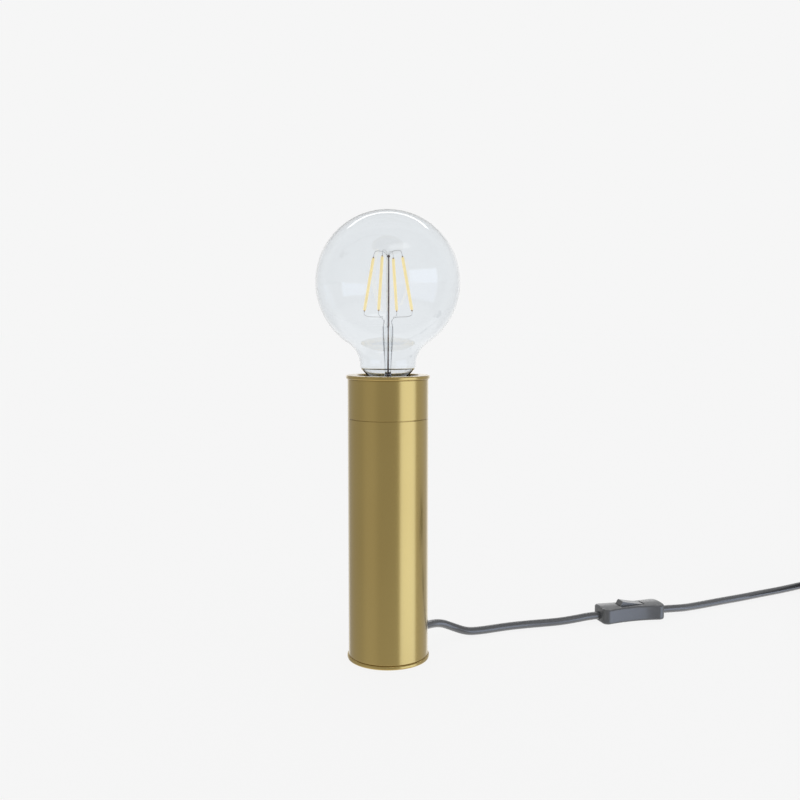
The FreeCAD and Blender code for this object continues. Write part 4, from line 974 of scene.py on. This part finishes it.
coil_outer = 38.65 * mm
coil_turns_each = 1.5
coil_pitch = 6.35 * mm
coil_layer = 6.28 * mm
coil_floor = floor_z + 0.92 * mm
coil_heading = 28.0
coil_start = np.array([374.5, 173.1]) * mm
coil_turns = 6.25
coil_points_each = 24
coil_reach = coil_turns_each * coil_pitch
coil_first = math.radians(coil_heading + 90) + math.atan2(coil_pitch / (2 * math.pi), coil_outer)
coil_middle = coil_start - coil_outer * np.array([math.cos(coil_first), math.sin(coil_first)])


def coil_places():
    """
    Points of the coil from its first turn to its last, all worked out at once from the turns t made so far.

    The radius falls steadily by the reach and rises again, once in each two layers. The height steps up one
    layer in the half turn about each change of direction, along 3 s squared - 2 s cubed.
    """
    t = np.linspace(0, coil_turns, int(coil_turns * coil_points_each) + 1)
    place = t / coil_turns_each
    step = np.where(place > 4, 4 - place, np.abs((place + 1) % 2 - 1))
    radius = (coil_outer - coil_reach * step) / math.cos(math.pi / coil_points_each)
    done = np.clip((t[:, None] - coil_turns_each * np.arange(1, 4)) / 0.5 + 0.5, 0, 1)
    height = coil_floor + coil_layer * (done**2 * (3 - 2 * done)).sum(axis=1)
    angle = coil_first - 2 * math.pi * t
    x = coil_middle[0] + radius * np.cos(angle)
    y = coil_middle[1] + radius * np.sin(angle)
    return np.stack([x, y, height], axis=1)


def run(start, start_turn, middle, end, end_turn):
    """The points of a run that is straight at both ends, with its middle ones given in millimetres."""
    after_start = start + level(start_turn, end_run)
    before_end = end - level(end_turn, end_run)
    return np.vstack([start, after_start, np.array(middle) * mm, before_end, end])


coil_line = coil_places()
coil_end_turn = math.degrees(math.atan2(*(coil_line[-1] - coil_line[-2])[1::-1]))
coil_in = np.array([*coil_start, coil_floor]) - level(coil_heading, 2 * lead_radius)
coil_out = coil_line[-1] + level(coil_end_turn, 2 * lead_radius)
first_route = run(lamp_end, exit_turn, first_middle, near_end, switch_turn)
second_route = run(far_end, switch_turn, second_middle, coil_in, coil_heading)
third_route = run(coil_out, coil_end_turn, third_middle, plug_place, plug_turn)


def lead(name, route, replaced):
    """A round lead on one smooth curve pulled towards the route's points."""
    curve = bpy.data.curves.new(name, "CURVE")
    curve.dimensions = "3D"
    curve.bevel_depth = lead_radius
    curve.bevel_resolution = 6
    curve.resolution_u = 6
    curve.use_fill_caps = True
    spline = curve.splines.new("NURBS")
    spline.points.add(len(route) - 1)
    spline.points.foreach_set("co", np.column_stack([route, np.ones(len(route))]).ravel())
    spline.order_u = 3
    spline.use_endpoint_u = True
    made = bpy.data.objects.new(name, curve)
    bpy.context.scene.collection.objects.link(made)
    return place_in_lamp(made, lead_plastic, "lead_grey", "lamp", *replaced)


first_lead = lead("lead_to_switch", first_route, ["cord_lamp_to_switch"])
second_lead = lead(
    "lead_to_plug",
    np.vstack([second_route, coil_line, third_route]),
    ["cord_switch_to_coil", "cord_coil", "cord_coil_to_plug"],
)

# ---- Switch on the lead ----
# Two waisted halves of dark grey plastic screwed together from below, with a rocker let into the top. Inside,
# the rocker's nose rolls along a tilting brass contact between two fixed ones.

switch_plastic = moulded(
    "switch_moulding",
    (0.132, 0.138, 0.147),
    (0.148, 0.154, 0.163),
    0.3,
    grain=2400,
    depth=0.008 * mm,
    coat=0.7,
    coat_index=1.7,
)
dress(switch_plastic, "switch_base", "switch_cover", "switch_rocker")
dress(zinc, "rocker_pin", "cord_anchors", "anchor_screws", "housing_screws")
dress(bare_brass, "seesaw_contact", "fixed_contacts")

# ---- Plug ----
# A flat two-pin plug moulded on to the lead: a waisted body, a ribbed sleeve that lets the lead bend, and two
# nickel-plated pins with insulating sleeves.

dress(switch_plastic, "plug_boot", "plug_body", "plug_sleeves")
dress(plated_metal("pin_nickel", (0.6, 0.59, 0.57), (0.78, 0.77, 0.74), 0.14), "plug_pins")

# ---- Tie round the coil ----
# A strap of black hook and loop tape that keeps the coil's turns together. It is pulled round all the layers
# at one place and closed on itself.


def woven_tape():
    """Tape of looped pile: crossed ribs of thread under short fuzz."""
    finish = Finish("tie_tape", {"Roughness": 0.9, "Specular IOR Level": 0.25})
    fuzz = finish.noise(2400, 4.0)
    finish.set({"Base Color": finish.mixed(fuzz, (0.01, 0.01, 0.011), (0.05, 0.05, 0.052))})
    return finish.bump(fuzz, 0.2 * mm, 0.8).material


dress(woven_tape(), "coil_tie")
